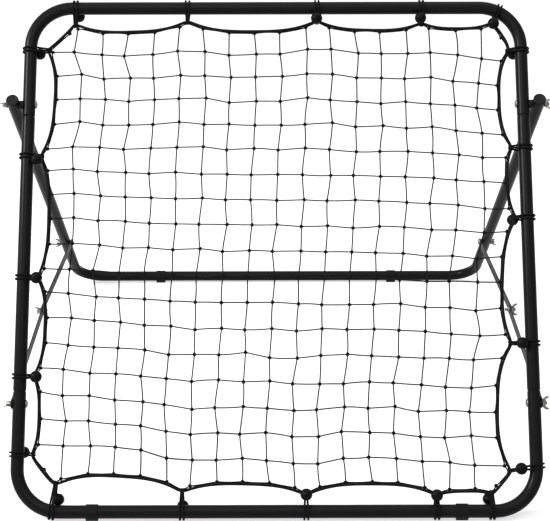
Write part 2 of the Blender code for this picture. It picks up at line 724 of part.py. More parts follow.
def net_nodes(rope, ties):
    """The knots of the net: a square grid whose border lies along the rope."""
    right = SIDE_X - NET_SIDE_MARGIN
    xs = np.linspace(-right, right, NET_MESHES + 1)
    ys = np.linspace(NET_BOTTOM_MARGIN, FRAME_HEIGHT - NET_TOP_MARGIN, NET_MESHES + 1)
    nodes = np.stack(np.meshgrid(xs, ys, indexing="ij"), axis=-1)
    last = NET_MESHES
    for k in range(1, last):
        nodes[0, k] = crossing(rope, 1, ys[k], False)
        nodes[last, k] = crossing(rope, 1, ys[k], True)
        nodes[k, 0] = crossing(rope, 0, xs[k], False)
        nodes[k, last] = crossing(rope, 0, xs[k], True)
    for i in (0, last):
        for j in (0, last):
            corner = np.array((xs[i], ys[j]))
            nodes[i, j] = rope[np.argmin(np.linalg.norm(rope - corner, axis=1))]
    clear_border(nodes, rope, [tie[2] for tie in ties])
    return nodes


def clear_border(nodes, rope, holds):
    """Draws the border strands in until they clear the rope and the loops on it."""
    last = NET_MESHES
    upwards = [(0, k) for k in range(last)]
    across = [(k, last) for k in range(last)]
    downwards = [(last, last - k) for k in range(last)]
    back = [(last - k, 0) for k in range(last)]
    border = upwards + across + downwards + back
    rope_reach = ROPE_RADIUS + TWINE / 2 + 2 * GAP
    loop_reach = rope_reach + LOOP_SPREAD * TIE_THICKNESS
    steps = np.roll(rope, -1, axis=0) - rope
    route = np.concatenate([rope + share * steps for share in np.arange(0, 1, 0.1)])
    places = np.concatenate([route, holds])
    reaches = np.array([rope_reach] * len(route) + [loop_reach] * len(holds))
    for _ in range(BORDER_PASSES):
        for a, b in zip(border, border[1:] + border[:1]):
            strand = nodes[b] - nodes[a]
            length = np.linalg.norm(strand)
            inwards = np.array((strand[1], -strand[0])) / length
            share = (places - nodes[a]) @ strand / length**2
            depths = (places - nodes[a]) @ inwards + reaches
            near = (share > -0.1) & (share < 1.1) & (depths < length)
            if not near.any() or depths[near].max() <= 0:
                continue
            worst = np.argmax(np.where(near, depths, -1))
            lean = min(max(share[worst], 0), 1)
            nodes[a] += (1 - lean) * depths[worst] * inwards
            nodes[b] += lean * depths[worst] * inwards


def add_net(nodes, twine):
    """A flat net: a small square at each knot and a strand to each neighbour."""
    half = TWINE / 2
    corners = np.array([(-half, -half), (half, -half), (half, half), (-half, half)])
    count = NET_MESHES + 1
    points = []
    for level in (-half, half):
        for i in range(count):
            for j in range(count):
                points += [(*(nodes[i, j] + corner), level) for corner in corners]
    layer = 4 * count * count

    def corner(i, j, k):
        return 4 * (i * count + j) + k

    faces = []

    def plate(loop):
        faces.append(loop)
        faces.append(tuple(layer + k for k in reversed(loop)))

    def wall(a, b):
        faces.append((b, a, layer + a, layer + b))

    last = count - 1
    for i in range(count):
        for j in range(count):
            plate(tuple(corner(i, j, k) for k in (3, 2, 1, 0)))
            if i == 0:
                wall(corner(i, j, 0), corner(i, j, 3))
            if j == 0:
                wall(corner(i, j, 1), corner(i, j, 0))
            if i == last:
                wall(corner(i, j, 2), corner(i, j, 1))
            else:
                a, b = corner(i, j, 1), corner(i + 1, j, 0)
                c, d = corner(i + 1, j, 3), corner(i, j, 2)
                plate((a, d, c, b))
                wall(b, a)
                wall(d, c)
            if j == last:
                wall(corner(i, j, 3), corner(i, j, 2))
            else:
                a, b = corner(i, j, 3), corner(i, j, 2)
                c, d = corner(i, j + 1, 1), corner(i, j + 1, 0)
                plate((a, d, c, b))
                wall(a, d)
                wall(c, b)
    mesh = new_mesh("net", points, faces, turn=False)
    new_object("net", mesh, FRONT_PLANE, twine, smooth=False)


def main():
    for old in list(bpy.data.objects):
        bpy.data.objects.remove(old)
    steel = material("black_powder_coat", (0.012, 0.012, 0.013), 0.42)
    stay_steel = material("grey_powder_coat", (0.10, 0.10, 0.10), 0.45)
    zinc = material("bright_zinc", (0.62, 0.62, 0.60), 0.28, metallic=1.0)
    plastic = material("black_plastic", (0.016, 0.016, 0.017), 0.5)
    rubber = material("black_rubber", (0.014, 0.014, 0.014), 0.8)
    cord = material("black_cord", (0.012, 0.012, 0.012), 0.85)
    twine = material("black_twine", (0.014, 0.014, 0.014), 0.8)
    elastic = material("black_elastic", (0.012, 0.012, 0.012), 0.75)

    add_front_frame(steel)
    add_rear_support(steel, plastic)
    add_saddles(plastic)
    add_stays(stay_steel)
    add_fasteners(zinc)
    add_feet(rubber)
    ties = tie_points()
    rope = rope_points(ties)
    add_border_rope(rope, cord)
    add_ties(ties, elastic)
    add_net(net_nodes(rope, ties), twine)


main()
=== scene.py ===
# %% [markdown]
# # A folding rebounder net
# A rebounder is a square of steel tube with a net laced into it, which throws a ball back to the player.
# It leans on a second tube frame. Each surface here is worked out with numpy as a grid of points, and
# each finish starts from what the real one is.

# %% Load the frame
import json
import math

import bmesh
import bpy
import numpy as np
from mathutils import Matrix


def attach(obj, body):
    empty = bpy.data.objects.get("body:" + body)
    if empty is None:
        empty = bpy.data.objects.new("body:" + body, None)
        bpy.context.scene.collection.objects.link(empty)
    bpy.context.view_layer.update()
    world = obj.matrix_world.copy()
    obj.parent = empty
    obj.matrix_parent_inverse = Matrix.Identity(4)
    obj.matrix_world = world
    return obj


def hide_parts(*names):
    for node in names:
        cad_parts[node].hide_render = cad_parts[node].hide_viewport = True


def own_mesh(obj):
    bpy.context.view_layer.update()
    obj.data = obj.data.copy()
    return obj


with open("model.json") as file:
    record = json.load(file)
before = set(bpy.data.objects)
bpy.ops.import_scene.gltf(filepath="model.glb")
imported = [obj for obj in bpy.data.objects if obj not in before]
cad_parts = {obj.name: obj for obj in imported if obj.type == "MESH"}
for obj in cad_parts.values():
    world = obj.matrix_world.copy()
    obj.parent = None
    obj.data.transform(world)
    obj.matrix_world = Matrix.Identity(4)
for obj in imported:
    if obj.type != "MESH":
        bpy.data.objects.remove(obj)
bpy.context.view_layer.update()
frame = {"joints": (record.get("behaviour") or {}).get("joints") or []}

# %% [markdown]
# ## Where things are
# The hinge pins say where the two tube frames lie: x is across, and each frame has its own direction up
# or down its slope. So every tube, bolt and tie can be placed by real distances along its own frame.

# %% Directions and pins
PIN = {joint["name"]: np.array(joint["pos_m"]) for joint in frame["joints"]}
HINGE = PIN["rear_fold"]
FRONT_PIN = PIN["lower_stay_fold_left"] * (0, 1, 1)
REAR_PIN = PIN["upper_stay_fold_left"] * (0, 1, 1)
ELBOW = PIN["elbow_wing_nut_left_spin"] * (0, 1, 1)
ACROSS = np.array((1.0, 0.0, 0.0))


def unit(vectors):
    """Each vector divided by its own length."""
    return vectors / np.linalg.norm(vectors, axis=-1, keepdims=True)


UP_FRAME = unit(HINGE - FRONT_PIN)
DOWN_LEG = unit(REAR_PIN - HINGE)
FRAME_FACE = np.cross(ACROSS, UP_FRAME)
LEG_FACE = np.cross(ACROSS, DOWN_LEG)
HINGE_HEIGHT = 0.828
FRAME_FOOT = HINGE - HINGE_HEIGHT * UP_FRAME
SIDES = {"left": -1.0, "right": 1.0}
MM = 0.001
print("The frame leans at", math.degrees(math.atan2(UP_FRAME[2], UP_FRAME[1])), "degrees")

# %% [markdown]
# ## Grids, sweeps and turnings
# A grid of points becomes a skin of quads. A sweep carries a round section along a path. A turning spins
# a profile about an axis, as a lathe does.


# %% Surface helpers
def skin(grid, wrap_rows=False, wrap_columns=True):
    """Points, quads and UVs of a grid, or of many at once.

    Rows follow the path and columns go round it. U is metres along, and V the share of the way round.
    """
    rows, columns = grid.shape[-3:-1]
    batch = grid.reshape(-1, rows, columns, 3)
    r = np.arange(rows if wrap_rows else rows - 1)[:, None]
    c = np.arange(columns if wrap_columns else columns - 1)[None, :]
    below, beside = (r + 1) % rows, (c + 1) % columns
    corners = [(r, c), (below, c), (below, beside), (r, beside)]
    quads = np.stack([a * columns + b for a, b in corners], axis=-1).reshape(1, -1, 4)
    quads = quads + np.arange(len(batch))[:, None, None] * rows * columns
    steps = np.linalg.norm(np.roll(batch, -1, axis=1) - batch, axis=-1).mean(axis=-1)
    along = np.concatenate([np.zeros((len(batch), 1)), np.cumsum(steps, axis=1)], axis=1)
    uvs = np.empty((len(batch), r.size, c.size, 4, 2))
    uvs[..., (0, 3), 0] = along[:, : r.size, None, None]
    uvs[..., (1, 2), 0] = along[:, 1 : r.size + 1, None, None]
    uvs[..., (0, 1), 1] = (c / columns)[..., None]
    uvs[..., (2, 3), 1] = ((c + 1) / columns)[..., None]
    return batch.reshape(-1, 3), quads.reshape(-1, 4), uvs.reshape(-1, 2)


def sweep(path, radius, up, sides, closed=False, capped=False, flat=1.0):
    """Rings round a path: centre + radius * (cos * side + flat * sin * rise).

    Side is square to the path and to up; rise is square to the path and side. Radius and flat may
    change from ring to ring. A capped sweep ends in a point at each end.
    """
    if closed:
        ahead = np.roll(path, -1, axis=-2) - np.roll(path, 1, axis=-2)
    else:
        ahead = np.gradient(path, axis=-2)
    side = unit(np.cross(ahead, up))
    rise = unit(np.cross(side, ahead)) * np.broadcast_to(flat, path.shape[:-1])[..., None]
    angle = np.arange(sides) * 2 * np.pi / sides
    ring = np.cos(angle)[:, None] * side[..., None, :] + np.sin(angle)[:, None] * rise[..., None, :]
    radius = np.broadcast_to(radius, path.shape[:-1])[..., None, None]
    rings = path[..., None, :] + radius * ring
    if capped:
        first = np.repeat(path[..., :1, None, :], sides, axis=-2)
        last = np.repeat(path[..., -1:, None, :], sides, axis=-2)
        rings = np.concatenate([first, rings, last], axis=-3)
    return rings


def turned(profile, origin, axis, across, sides=48, closed=False):
    """A lathe: origin + height * axis + radius * (cos * across + sin * third)."""
    profile = np.asarray(profile)
    axis, across = unit(np.asarray(axis, float)), unit(np.asarray(across, float))
    angle = np.arange(sides) * 2 * np.pi / sides
    spoke = np.cos(angle)[:, None] * across + np.sin(angle)[:, None] * np.cross(axis, across)
    grid = origin + profile[:, 1, None, None] * axis + profile[:, 0, None, None] * spoke
    return skin(grid, wrap_rows=closed)


def curve(start, knee, stop, t):
    """A curve from start to stop that leans towards a knee: (1-t)^2 * start + 2t(1-t) * knee + t^2 * stop."""
    return (1 - t) ** 2 * start + 2 * t * (1 - t) * knee + t**2 * stop


def smooth(share):
    """An S from 0 to 1: 3 share^2 - 2 share^3."""
    return share**2 * (3 - 2 * share)


def eased(corners, reach, closed=False, steps=5):
    """A profile with each corner eased by a curve from just before it to just after it.

    Before and after lie the reach away from the corner, or less where its neighbour is near.
    """
    corners = np.asarray(corners, float)
    into = corners - np.roll(corners, 1, axis=0)
    out = np.roll(corners, -1, axis=0) - corners
    reach = np.broadcast_to(reach, len(corners))
    before = corners - into * np.minimum(0.45, reach / np.linalg.norm(into, axis=1))[:, None]
    after = corners + out * np.minimum(0.45, reach / np.linalg.norm(out, axis=1))[:, None]
    t = np.linspace(0, 1, steps)[None, :, None]
    rounded = curve(before[:, None], corners[:, None], after[:, None], t)
    if closed:
        return rounded.reshape(-1, 2)
    return np.concatenate([corners[:1], rounded[1:-1].reshape(-1, 2), corners[-1:]])


def placed(name, data):
    """A new object in the scene."""
    made = bpy.data.objects.new(name, data)
    bpy.context.scene.collection.objects.link(made)
    return made


def piece(name, skins, finish, body, nodes=(), crease=32):
    """One object from several skins: welded, faces outwards, smooth up to the crease angle."""
    starts = np.cumsum([0] + [len(points) for points, quads, uvs in skins])
    points = np.concatenate([part[0] for part in skins])
    quads = np.concatenate([part[1] + start for part, start in zip(skins, starts)])
    uvs = np.concatenate([part[2] for part in skins])
    mesh = bpy.data.meshes.new(name)
    mesh.from_pydata(points.tolist(), [], quads.tolist())
    mesh.uv_layers.new(name="UVMap").data.foreach_set("uv", uvs.astype(np.float32).ravel())
    shape = bmesh.new()
    shape.from_mesh(mesh)
    bmesh.ops.remove_doubles(shape, verts=shape.verts, dist=1e-6)
    bmesh.ops.recalc_face_normals(shape, faces=shape.faces)
    shape.to_mesh(mesh)
    shape.free()
    mesh.materials.append(finish)
    mesh.shade_smooth()
    mesh.set_sharp_from_angle(angle=math.radians(crease))
    made = placed(name, mesh)
    if nodes:
        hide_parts(*nodes)
    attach(made, body)
    return made


# %% [markdown]
# ## Finishes
# A material is named for the real finish. Its colour is a hex value as a colour picker shows it, turned
# to the linear light that the renderer adds up. One helper adds a shader node, sets it and links it.


# %% Material helpers
def linear(code):
    """The linear red, green, blue and alpha of an sRGB hex code."""
    shares = [int(code[k : k + 2], 16) / 255 for k in (1, 3, 5)]
    return (*[s / 12.92 if s <= 0.04045 else ((s + 0.055) / 1.055) ** 2.4 for s in shares], 1)


def add(tree, kind, inputs=None, **settings):
    """Adds a shader node, with its settings, and its inputs by name or number: sockets or values."""
    made = tree.nodes.new("ShaderNode" + kind)
    for name, value in settings.items():
        setattr(made, name, value)
    for key, value in (inputs or {}).items():
        if isinstance(value, bpy.types.NodeSocket):
            tree.links.new(value, made.inputs[key])
        else:
            made.inputs[key].default_value = value
    return made


def new_finish(name, colour, roughness, **sockets):
    """A Principled material and its tree and shader."""
    made = bpy.data.materials.new(name)
    made.use_nodes = True
    shader = made.node_tree.nodes["Principled BSDF"]
    shader.inputs["Base Color"].default_value = linear(colour)
    shader.inputs["Roughness"].default_value = roughness
    for key, value in sockets.items():
        shader.inputs[key.replace("_", " ")].default_value = value
    return made, made.node_tree, shader


def fine_noise(tree, size, detail=2.0):
    """Noise whose lumps are about this size in metres."""
    place = add(tree, "TexCoord")
    return add(tree, "TexNoise", {"Vector": place.outputs["Object"], "Scale": 1 / size, "Detail": detail})


# %% [markdown]
# ### Powder coat
# The tubes are mild steel, sprayed with black powder that melts into a tough skin in an oven. It is
# satin, and has the fine dimples that painters call orange peel, about a millimetre and a half across.
# The eye gets a soft pale line along a nearly black tube. The flat bars have the same coat, a little
# greyer and duller. Real coats, plastics and fibres have an IOR of about 1.5. Here the room is white all
# round and that made them grey, so the IORs were lowered until the greys matched the photograph.

# %% Powder coat finishes
PEEL = 1.6 * MM


def powder_coat(name, colour, worn, roughness, **sockets):
    """Satin powder: a slow drift between two greys, orange peel, and roughness that varies a little."""
    made, tree, shader = new_finish(name, colour, roughness, **sockets)
    drift = fine_noise(tree, 60 * MM, 3.0)
    # Mix has inputs of the same name for each type, so the colour ones, 6 and 7, go by number
    tint = add(tree, "Mix", {0: drift.outputs["Fac"], 6: linear(colour), 7: linear(worn)}, data_type="RGBA")
    tree.links.new(tint.outputs[2], shader.inputs["Base Color"])
    spread = add(tree, "MapRange", {"Value": drift.outputs["Fac"], "To Min": roughness - 0.05,
                                    "To Max": roughness + 0.06})
    tree.links.new(spread.outputs["Result"], shader.inputs["Roughness"])
    peel = fine_noise(tree, PEEL, 1.0)
    bump = add(tree, "Bump", {"Height": peel.outputs["Fac"], "Strength": 0.12, "Distance": 0.1 * MM})
    tree.links.new(bump.outputs["Normal"], shader.inputs["Normal"])
    return made


TUBE_COAT = powder_coat("black_powder_coat", "#0b0b0c", "#111112", 0.33, IOR=1.14)
BAR_COAT = powder_coat("scuffed_powder_coat", "#161617", "#202021", 0.48, IOR=1.16)

# %% [markdown]
# ### Zinc plate
# Bolts and wing nuts are steel with bright zinc plate, a metal mirror gone slightly soft and cloudy. To
# the eye they are the only pale things on the black frame. The greys are darker than clean zinc's, to
# match the photograph.

# %% Zinc finish
ZINC, tree, shader = new_finish("bright_zinc_plate", "#a8a39a", 0.30, Metallic=1.0)
cloud = fine_noise(tree, 5 * MM, 4.0)
ramp = add(tree, "ValToRGB", {"Fac": cloud.outputs["Fac"]})
ramp.color_ramp.elements[0].color = linear("#4c4c4e")
ramp.color_ramp.elements[1].color = linear("#85827d")
tree.links.new(ramp.outputs["Color"], shader.inputs["Base Color"])
dull = add(tree, "MapRange", {"Value": cloud.outputs["Fac"], "To Min": 0.18, "To Max": 0.40})
tree.links.new(dull.outputs["Result"], shader.inputs["Roughness"])
grain = fine_noise(tree, 0.5 * MM, 1.0)
bump = add(tree, "Bump", {"Height": grain.outputs["Fac"], "Strength": 0.08, "Distance": 0.05 * MM})
tree.links.new(bump.outputs["Normal"], shader.inputs["Normal"])

# %% [markdown]
# ### Plastic and rubber
# The plugs and spacers are moulded polyethylene, a little waxy, with a fine grain. The balls
# are moulded ABS, smoother and with more gloss. The foot sleeves are extruded rubber. The eye gets one
# small soft glint on a ball, a duller one on a plug, and hardly any on a foot.


# %% Plastic and rubber finishes
def moulded(name, colour, roughness, grain_size, depth, **sockets):
    """A moulded surface: one colour, with the mould's grain in its bump."""
    made, tree, shader = new_finish(name, colour, roughness, **sockets)
    grain = fine_noise(tree, grain_size, 2.0)
    bump = add(tree, "Bump", {"Height": grain.outputs["Fac"], "Strength": depth, "Distance": 0.1 * MM})
    tree.links.new(bump.outputs["Normal"], shader.inputs["Normal"])
    cloud = fine_noise(tree, 12 * MM, 2.0)
    spread = add(tree, "MapRange", {"Value": cloud.outputs["Fac"], "To Min": roughness - 0.06,
                                    "To Max": roughness + 0.06})
    tree.links.new(spread.outputs["Result"], shader.inputs["Roughness"])
    return made


PLUG_PLASTIC = moulded("moulded_polyethylene", "#101011", 0.50, 0.5 * MM, 0.25, IOR=1.2)
BALL_PLASTIC = moulded("moulded_abs", "#060607", 0.40, 0.8 * MM, 0.06, IOR=1.14)
FOOT_RUBBER = moulded("extruded_rubber", "#0b0b0c", 0.70, 0.7 * MM, 0.35, IOR=1.18)

# %% [markdown]
# ### Cords
# The colour is painted light: each yarn's crown is painted lighter, a painted highlight, and the groove
# between yarns darker, a painted shade.
# All three cords are black fibre. The border rope is a braid, whose yarns cross in diamonds. The net is
# twisted twine, whose yarns run round it as a screw does. The elastic has a fine woven cover, which
# shines a little. Each pattern follows the cord, so it reads the UV map: U is metres along, V is turns.
# A strand is one or two pixels wide from the camera, so the yarns show only in close views, and from
# afar the cords are plain soft black.


# %% Cord finishes
def wound(tree, lay, starts):
    """Ridges that wind round a cord: the sine of starts * turns + length / lay."""
    place = add(tree, "TexCoord")
    split = add(tree, "SeparateXYZ", {"Vector": place.outputs["UV"]})
    run = add(tree, "Math", {0: split.outputs["X"], 1: 2 * math.pi / lay}, operation="MULTIPLY")
    turn = add(tree, "Math", {0: split.outputs["Y"], 1: 2 * math.pi * starts}, operation="MULTIPLY")
    phase = add(tree, "Math", {0: run.outputs[0], 1: turn.outputs[0]}, operation="ADD")
    return add(tree, "Math", {0: phase.outputs[0]}, operation="SINE").outputs[0]


def fibre(name, dark, light, roughness, lay, starts, crossed, depth):
    """A cord of twisted or braided fibre: ridges in its bump, with fuzz, and a colour of painted light: a
    painted highlight on the ridges' crowns and painted shade in the grooves between them.
    """
    made, tree, shader = new_finish(name, dark, roughness, IOR=1.12, Sheen_Weight=0.02, Sheen_Roughness=0.4)
    height = wound(tree, lay, starts)
    if crossed:
        other = wound(tree, lay, -starts)
        height = add(tree, "Math", {0: height, 1: other}, operation="MAXIMUM").outputs[0]
    # Painted light: the ramp paints the ridges' crowns lighter, a painted highlight, and the grooves between
    # them darker, a painted shade
    share = add(tree, "MapRange", {"Value": height, "From Min": -1.0})
    tint = add(tree, "ValToRGB", {"Fac": share.outputs[0]})
    tint.color_ramp.elements[0].color = linear(dark)
    tint.color_ramp.elements[1].color = linear(light)
    tree.links.new(tint.outputs["Color"], shader.inputs["Base Color"])
    fuzz = fine_noise(tree, 0.3 * MM, 2.0)
    rough = add(tree, "Math", {0: fuzz.outputs["Fac"], 1: 0.5, 2: height}, operation="MULTIPLY_ADD")
    bump = add(tree, "Bump", {"Height": rough.outputs[0], "Strength": depth, "Distance": 0.25 * MM})
    tree.links.new(bump.outputs["Normal"], shader.inputs["Normal"])
    return made


# In each, the first colour is the cord's black and the painted shade in its grooves, and the second is the
# painted highlight on its crowns
ROPE_FIBRE = fibre("braided_polypropylene", "#060607", "#141416", 0.66, 6 * MM, 4, True, 0.8)
TWINE_FIBRE = fibre("twisted_polyethylene_twine", "#060607", "#121214", 0.64, 5 * MM, 3, False, 0.7)
ELASTIC_FIBRE = fibre("woven_elastic_cover", "#040405", "#0e0e0f", 0.60, 2.5 * MM, 6, True, 0.6)
print(len(bpy.data.materials), "materials")

# %% [markdown]
# ## Tubes
# All the tube is 26 mm round with a 1.2 mm wall, bent cold on a former. The path is straight runs and
# arcs; the wall is the outside and the bore, joined at the sawn ends, whose rims are eased.

# %% Tube sizes
TUBE_RADIUS = 13.1 * MM
TUBE_WALL = 1.2 * MM
RIM = 0.35 * MM
TUBE_SIDES = 56
SIDE_X = 0.5125
FRAME_HEIGHT = 1.038
FRAME_CORNER = 0.085
UPPER_SEAM = 0.8045
LOWER_SEAM = 0.2344
LEG_LENGTH = 0.906
LEG_END = 0.018
SUPPORT_CORNER = 0.070
FIT = 0.3 * MM  # between pieces that touch
BAR_THICK = 2.2 * MM
LOWER_BAR_X = SIDE_X + TUBE_RADIUS + FIT
UPPER_BAR_X = LOWER_BAR_X + BAR_THICK + FIT
LEG_X = UPPER_BAR_X + BAR_THICK + FIT + TUBE_RADIUS


# %% Bent tubes
def bent(corners, radius, steps=28):
    """A polyline in the plane with arcs of this radius at its corners: centre + turned spoke."""
    corners = [np.array(corner, float) for corner in corners]
    runs = [unit(b - a) for a, b in zip(corners, corners[1:])]
    points = [corners[0], corners[0] + RIM * runs[0]]
    for corner, into, out in zip(corners[1:], runs, runs[1:]):
        turn = math.atan2(into[0] * out[1] - into[1] * out[0], into @ out)
        start = corner - into * radius * math.tan(abs(turn) / 2)
        centre = start + math.copysign(radius, turn) * np.array((-into[1], into[0]))
        angle = np.linspace(0, turn, steps)
        spoke = start - centre
        square = np.array((-spoke[1], spoke[0]))
        points.extend(centre + np.cos(angle)[:, None] * spoke + np.sin(angle)[:, None] * square)
    points += [corners[-1] - RIM * runs[-1], corners[-1]]
    return np.array(points)


def tube_wall(path, face):
    """Rings of the outside, then of the bore in reverse, wrapped into one closed wall."""
    outside = np.full(len(path), TUBE_RADIUS)
    outside[[0, -1]] -= RIM
    outer = sweep(path, outside, face, TUBE_SIDES)
    bore = sweep(path, TUBE_RADIUS - TUBE_WALL, face, TUBE_SIDES)[::-1]
    return skin(np.concatenate([outer, bore]), wrap_rows=True)


def u_tube(name, half_width, low, high, corner, origin, up, face, body):
    """A U of tube in a plane: down one side, across and back up."""
    corners = [(-half_width, low), (-half_width, high), (half_width, high), (half_width, low)]
    flat = bent(corners, corner)
    path = origin + flat[:, :1] * ACROSS + flat[:, 1:] * up
    return piece(name + "_tube", [tube_wall(path, face)], TUBE_COAT, body, [name])


u_tube("front_frame_top", SIDE_X, UPPER_SEAM, FRAME_HEIGHT, FRAME_CORNER, FRAME_FOOT, UP_FRAME,
       FRAME_FACE, "front_frame")
u_tube("front_frame_bottom", SIDE_X, LOWER_SEAM, 0, FRAME_CORNER, FRAME_FOOT, UP_FRAME,
       FRAME_FACE, "front_frame")
u_tube("rear_support", LEG_X, -LEG_END, LEG_LENGTH, SUPPORT_CORNER, HINGE, DOWN_LEG,
       LEG_FACE, "rear_support")

# %% [markdown]
# The straight side tubes have swaged ends: a die squeezes the last 45 mm (a guess) until it slides into the
# bent tubes. That leaves a short cone beside each seam, which catches the light as a thin ring.

# %% Side tubes
SPIGOT = 45 * MM
CONE = 4 * MM
BORE = TUBE_RADIUS - TUBE_WALL
NECK = BORE - FIT
outside = [
    (NECK, LOWER_SEAM - SPIGOT), (NECK, LOWER_SEAM + FIT), (TUBE_RADIUS, LOWER_SEAM + FIT + CONE),
    (TUBE_RADIUS, UPPER_SEAM - FIT - CONE), (NECK, UPPER_SEAM - FIT), (NECK, UPPER_SEAM + SPIGOT),
]
inside = [
    (NECK - TUBE_WALL, UPPER_SEAM + SPIGOT), (NECK - TUBE_WALL, UPPER_SEAM - 2 * TUBE_WALL),
    (BORE, UPPER_SEAM - CONE - 2 * TUBE_WALL), (BORE, LOWER_SEAM + CONE + 2 * TUBE_WALL),
    (NECK - TUBE_WALL, LOWER_SEAM + 2 * TUBE_WALL), (NECK - TUBE_WALL, LOWER_SEAM - SPIGOT),
]
SIDE_PROFILE = eased(outside + inside, 0.6 * MM, closed=True, steps=4)
for side, sign in SIDES.items():
    foot_of_tube = FRAME_FOOT + sign * SIDE_X * ACROSS
    wall = turned(SIDE_PROFILE, foot_of_tube, UP_FRAME, ACROSS, TUBE_SIDES, closed=True)
    piece(f"side_tube_{side}_swaged", [wall], TUBE_COAT, "front_frame", [f"side_tube_{side}"])
AROUND = 2 * (2 * SIDE_X + FRAME_HEIGHT) - (8 - 2 * math.pi) * FRAME_CORNER
print("Once round the front frame, along the tube's middle, is", round(AROUND, 2), "m")

# %% [markdown]
# ## Plugs, saddles and feet
# A plug closes each open leg top: a flange with a dished face, on a stem in the bore. At the hinge, two
# saddles keep the round tubes apart; each is hollowed to its tube on one side and flat on the other. A
# rubber sleeve with a flat pad below stands at four places on the floor.

# %% Leg plugs
PLUG_PROFILE = eased([
    (0, 1.8 * MM), (9.0 * MM, 1.9 * MM), (10.0 * MM, 2.7 * MM), (11.8 * MM, 2.7 * MM),
    (TUBE_RADIUS, 1.6 * MM), (TUBE_RADIUS, FIT), (NECK, FIT), (NECK, -8 * MM), (NECK - 1 * MM, -9 * MM),
    (0, -9 * MM),
], 0.7 * MM)
for side, sign in SIDES.items():
    top = HINGE + sign * LEG_X * ACROSS - LEG_END * DOWN_LEG
    plug = turned(PLUG_PROFILE, top, -DOWN_LEG, ACROSS)
    piece(f"leg_plug_{side}_moulded", [plug], PLUG_PLASTIC, "rear_support", [f"leg_plug_{side}"])

# %% Saddles
SADDLE_RADIUS = 9 * MM
SADDLE_FLAT = TUBE_RADIUS + 2.5 * MM  # from the tube's axis to the flat side
SADDLE_BORE = 3.6 * MM


def saddle(centre, out, direction):
    """A disc whose foot follows the tube: its height at (x, y) is the root of tube radius^2 - y^2."""
    across = np.cross(direction, out)
    angle = np.arange(48) * 2 * np.pi / 48
    spoke = np.cos(angle)[:, None] * direction + np.sin(angle)[:, None] * across
    edge = 0.5 * MM
    radii = [SADDLE_BORE, SADDLE_RADIUS - edge, SADDLE_RADIUS]
    radii += radii[::-1]
    seat = TUBE_RADIUS + FIT
    rows = []
    for k, radius in enumerate(radii):
        low = np.sqrt(seat**2 - (radius * np.sin(angle)) ** 2)
        lift = (low, low, low + edge)[k] if k < 3 else np.full(48, SADDLE_FLAT - edge * (k == 3))
        rows.append(centre + radius * spoke + lift[:, None] * out)
    return skin(np.array(rows), wrap_rows=True)


for side, sign in SIDES.items():
    for name, x, facing, direction, body in (("front", SIDE_X, 1, UP_FRAME, "front_frame"),
                                             ("rear", LEG_X, -1, DOWN_LEG, "rear_support")):
        made = saddle(HINGE + sign * x * ACROSS, sign * facing * ACROSS, direction)
        node = f"{name}_saddle_{side}"
        piece(node + "_moulded", [made], PLUG_PLASTIC, body, [node])

# %% Feet
FOOT_WALL = 1.9 * MM
FOOT_DEPTH = 16.8 * MM
FOOT_WIDTH = 24 * MM
PAD_ANGLE = math.radians(22.5)
FRONT_FOOT_X = 0.363
REAR_FOOT_X = 0.317
ROUNDED_FROM = 11 * MM
END_DROP = 0.9 * MM
GROOVE_DEPTH = 0.35 * MM
GROOVE_PITCH = 6 * MM


def foot(centre):
    """A sleeve along x: its outside is a circle, drawn down to a flat pad where it meets the floor.

    At an angle d from straight down the pad's radius is depth / cos(d); it blends into the circle
    beyond the pad's edge. Three shallow grooves run round it, and its ends are rounded.
    """
    columns = 96
    angle = np.arange(columns) * 2 * np.pi / columns
    down = np.abs((angle + np.pi / 2 + np.pi) % (2 * np.pi) - np.pi)
    round_part = TUBE_RADIUS + FOOT_WALL
    pad = FOOT_DEPTH / np.cos(np.minimum(down, PAD_ANGLE))
    share = np.clip((down - PAD_ANGLE) / PAD_ANGLE, 0, 1)
    outside = pad * (1 - smooth(share)) + round_part * smooth(share)
    spoke = np.cos(angle)[:, None] * np.array((0, 1, 0)) + np.sin(angle)[:, None] * np.array((0, 0, 1))
    x = np.linspace(-FOOT_WIDTH / 2, FOOT_WIDTH / 2, 49)
    past = np.maximum(np.abs(x) - ROUNDED_FROM, 0) / (1 * MM)
    inset = END_DROP * (1 - np.sqrt(np.clip(1 - past**2, 0, 1)))
    groove = GROOVE_DEPTH * np.maximum(0, np.cos(2 * np.pi * x / GROOVE_PITCH)) ** 6 * (np.abs(x) < 9 * MM)
    groove = groove[:, None] * np.clip(down - PAD_ANGLE, 0, 1)
    outer = (outside[None, :] - inset[:, None] - groove)[..., None] * spoke + x[:, None, None] * ACROSS
    bore = (TUBE_RADIUS + 0.4 * MM) * spoke + x[[-1, 0], None, None] * ACROSS
    return skin(centre + np.concatenate([outer, bore]), wrap_rows=True)


CROSSBAR = HINGE + LEG_LENGTH * DOWN_LEG
for name, half, centre, body in (("front", FRONT_FOOT_X, FRAME_FOOT, "front_frame"),
                                 ("rear", REAR_FOOT_X, CROSSBAR, "rear_support")):
    for side, sign in SIDES.items():
        node = f"{name}_foot_{side}"
        sleeve = foot(centre + sign * half * ACROSS)
        piece(node + "_sleeve", [sleeve], FOOT_RUBBER, body, [node])

# %% [markdown]
# ## Stays
# A flat bar runs back from each side tube and another forward from each leg, and they meet at an elbow
# that breaks upwards. A plate with holes has no simple grid, so it is laid out as cells: round each hole
# a ring of quads reaches from the circle to a square, and plain strips join the squares. At the ends the
# outer half of the square is a half circle. Solidify gives the thickness and Bevel eases the edges.

# %% Bars
BAR_HALF = 10 * MM
BAR_HOLE = 3.4 * MM
HOLE_RING = 1.5 * MM
CELL_POINTS = 64


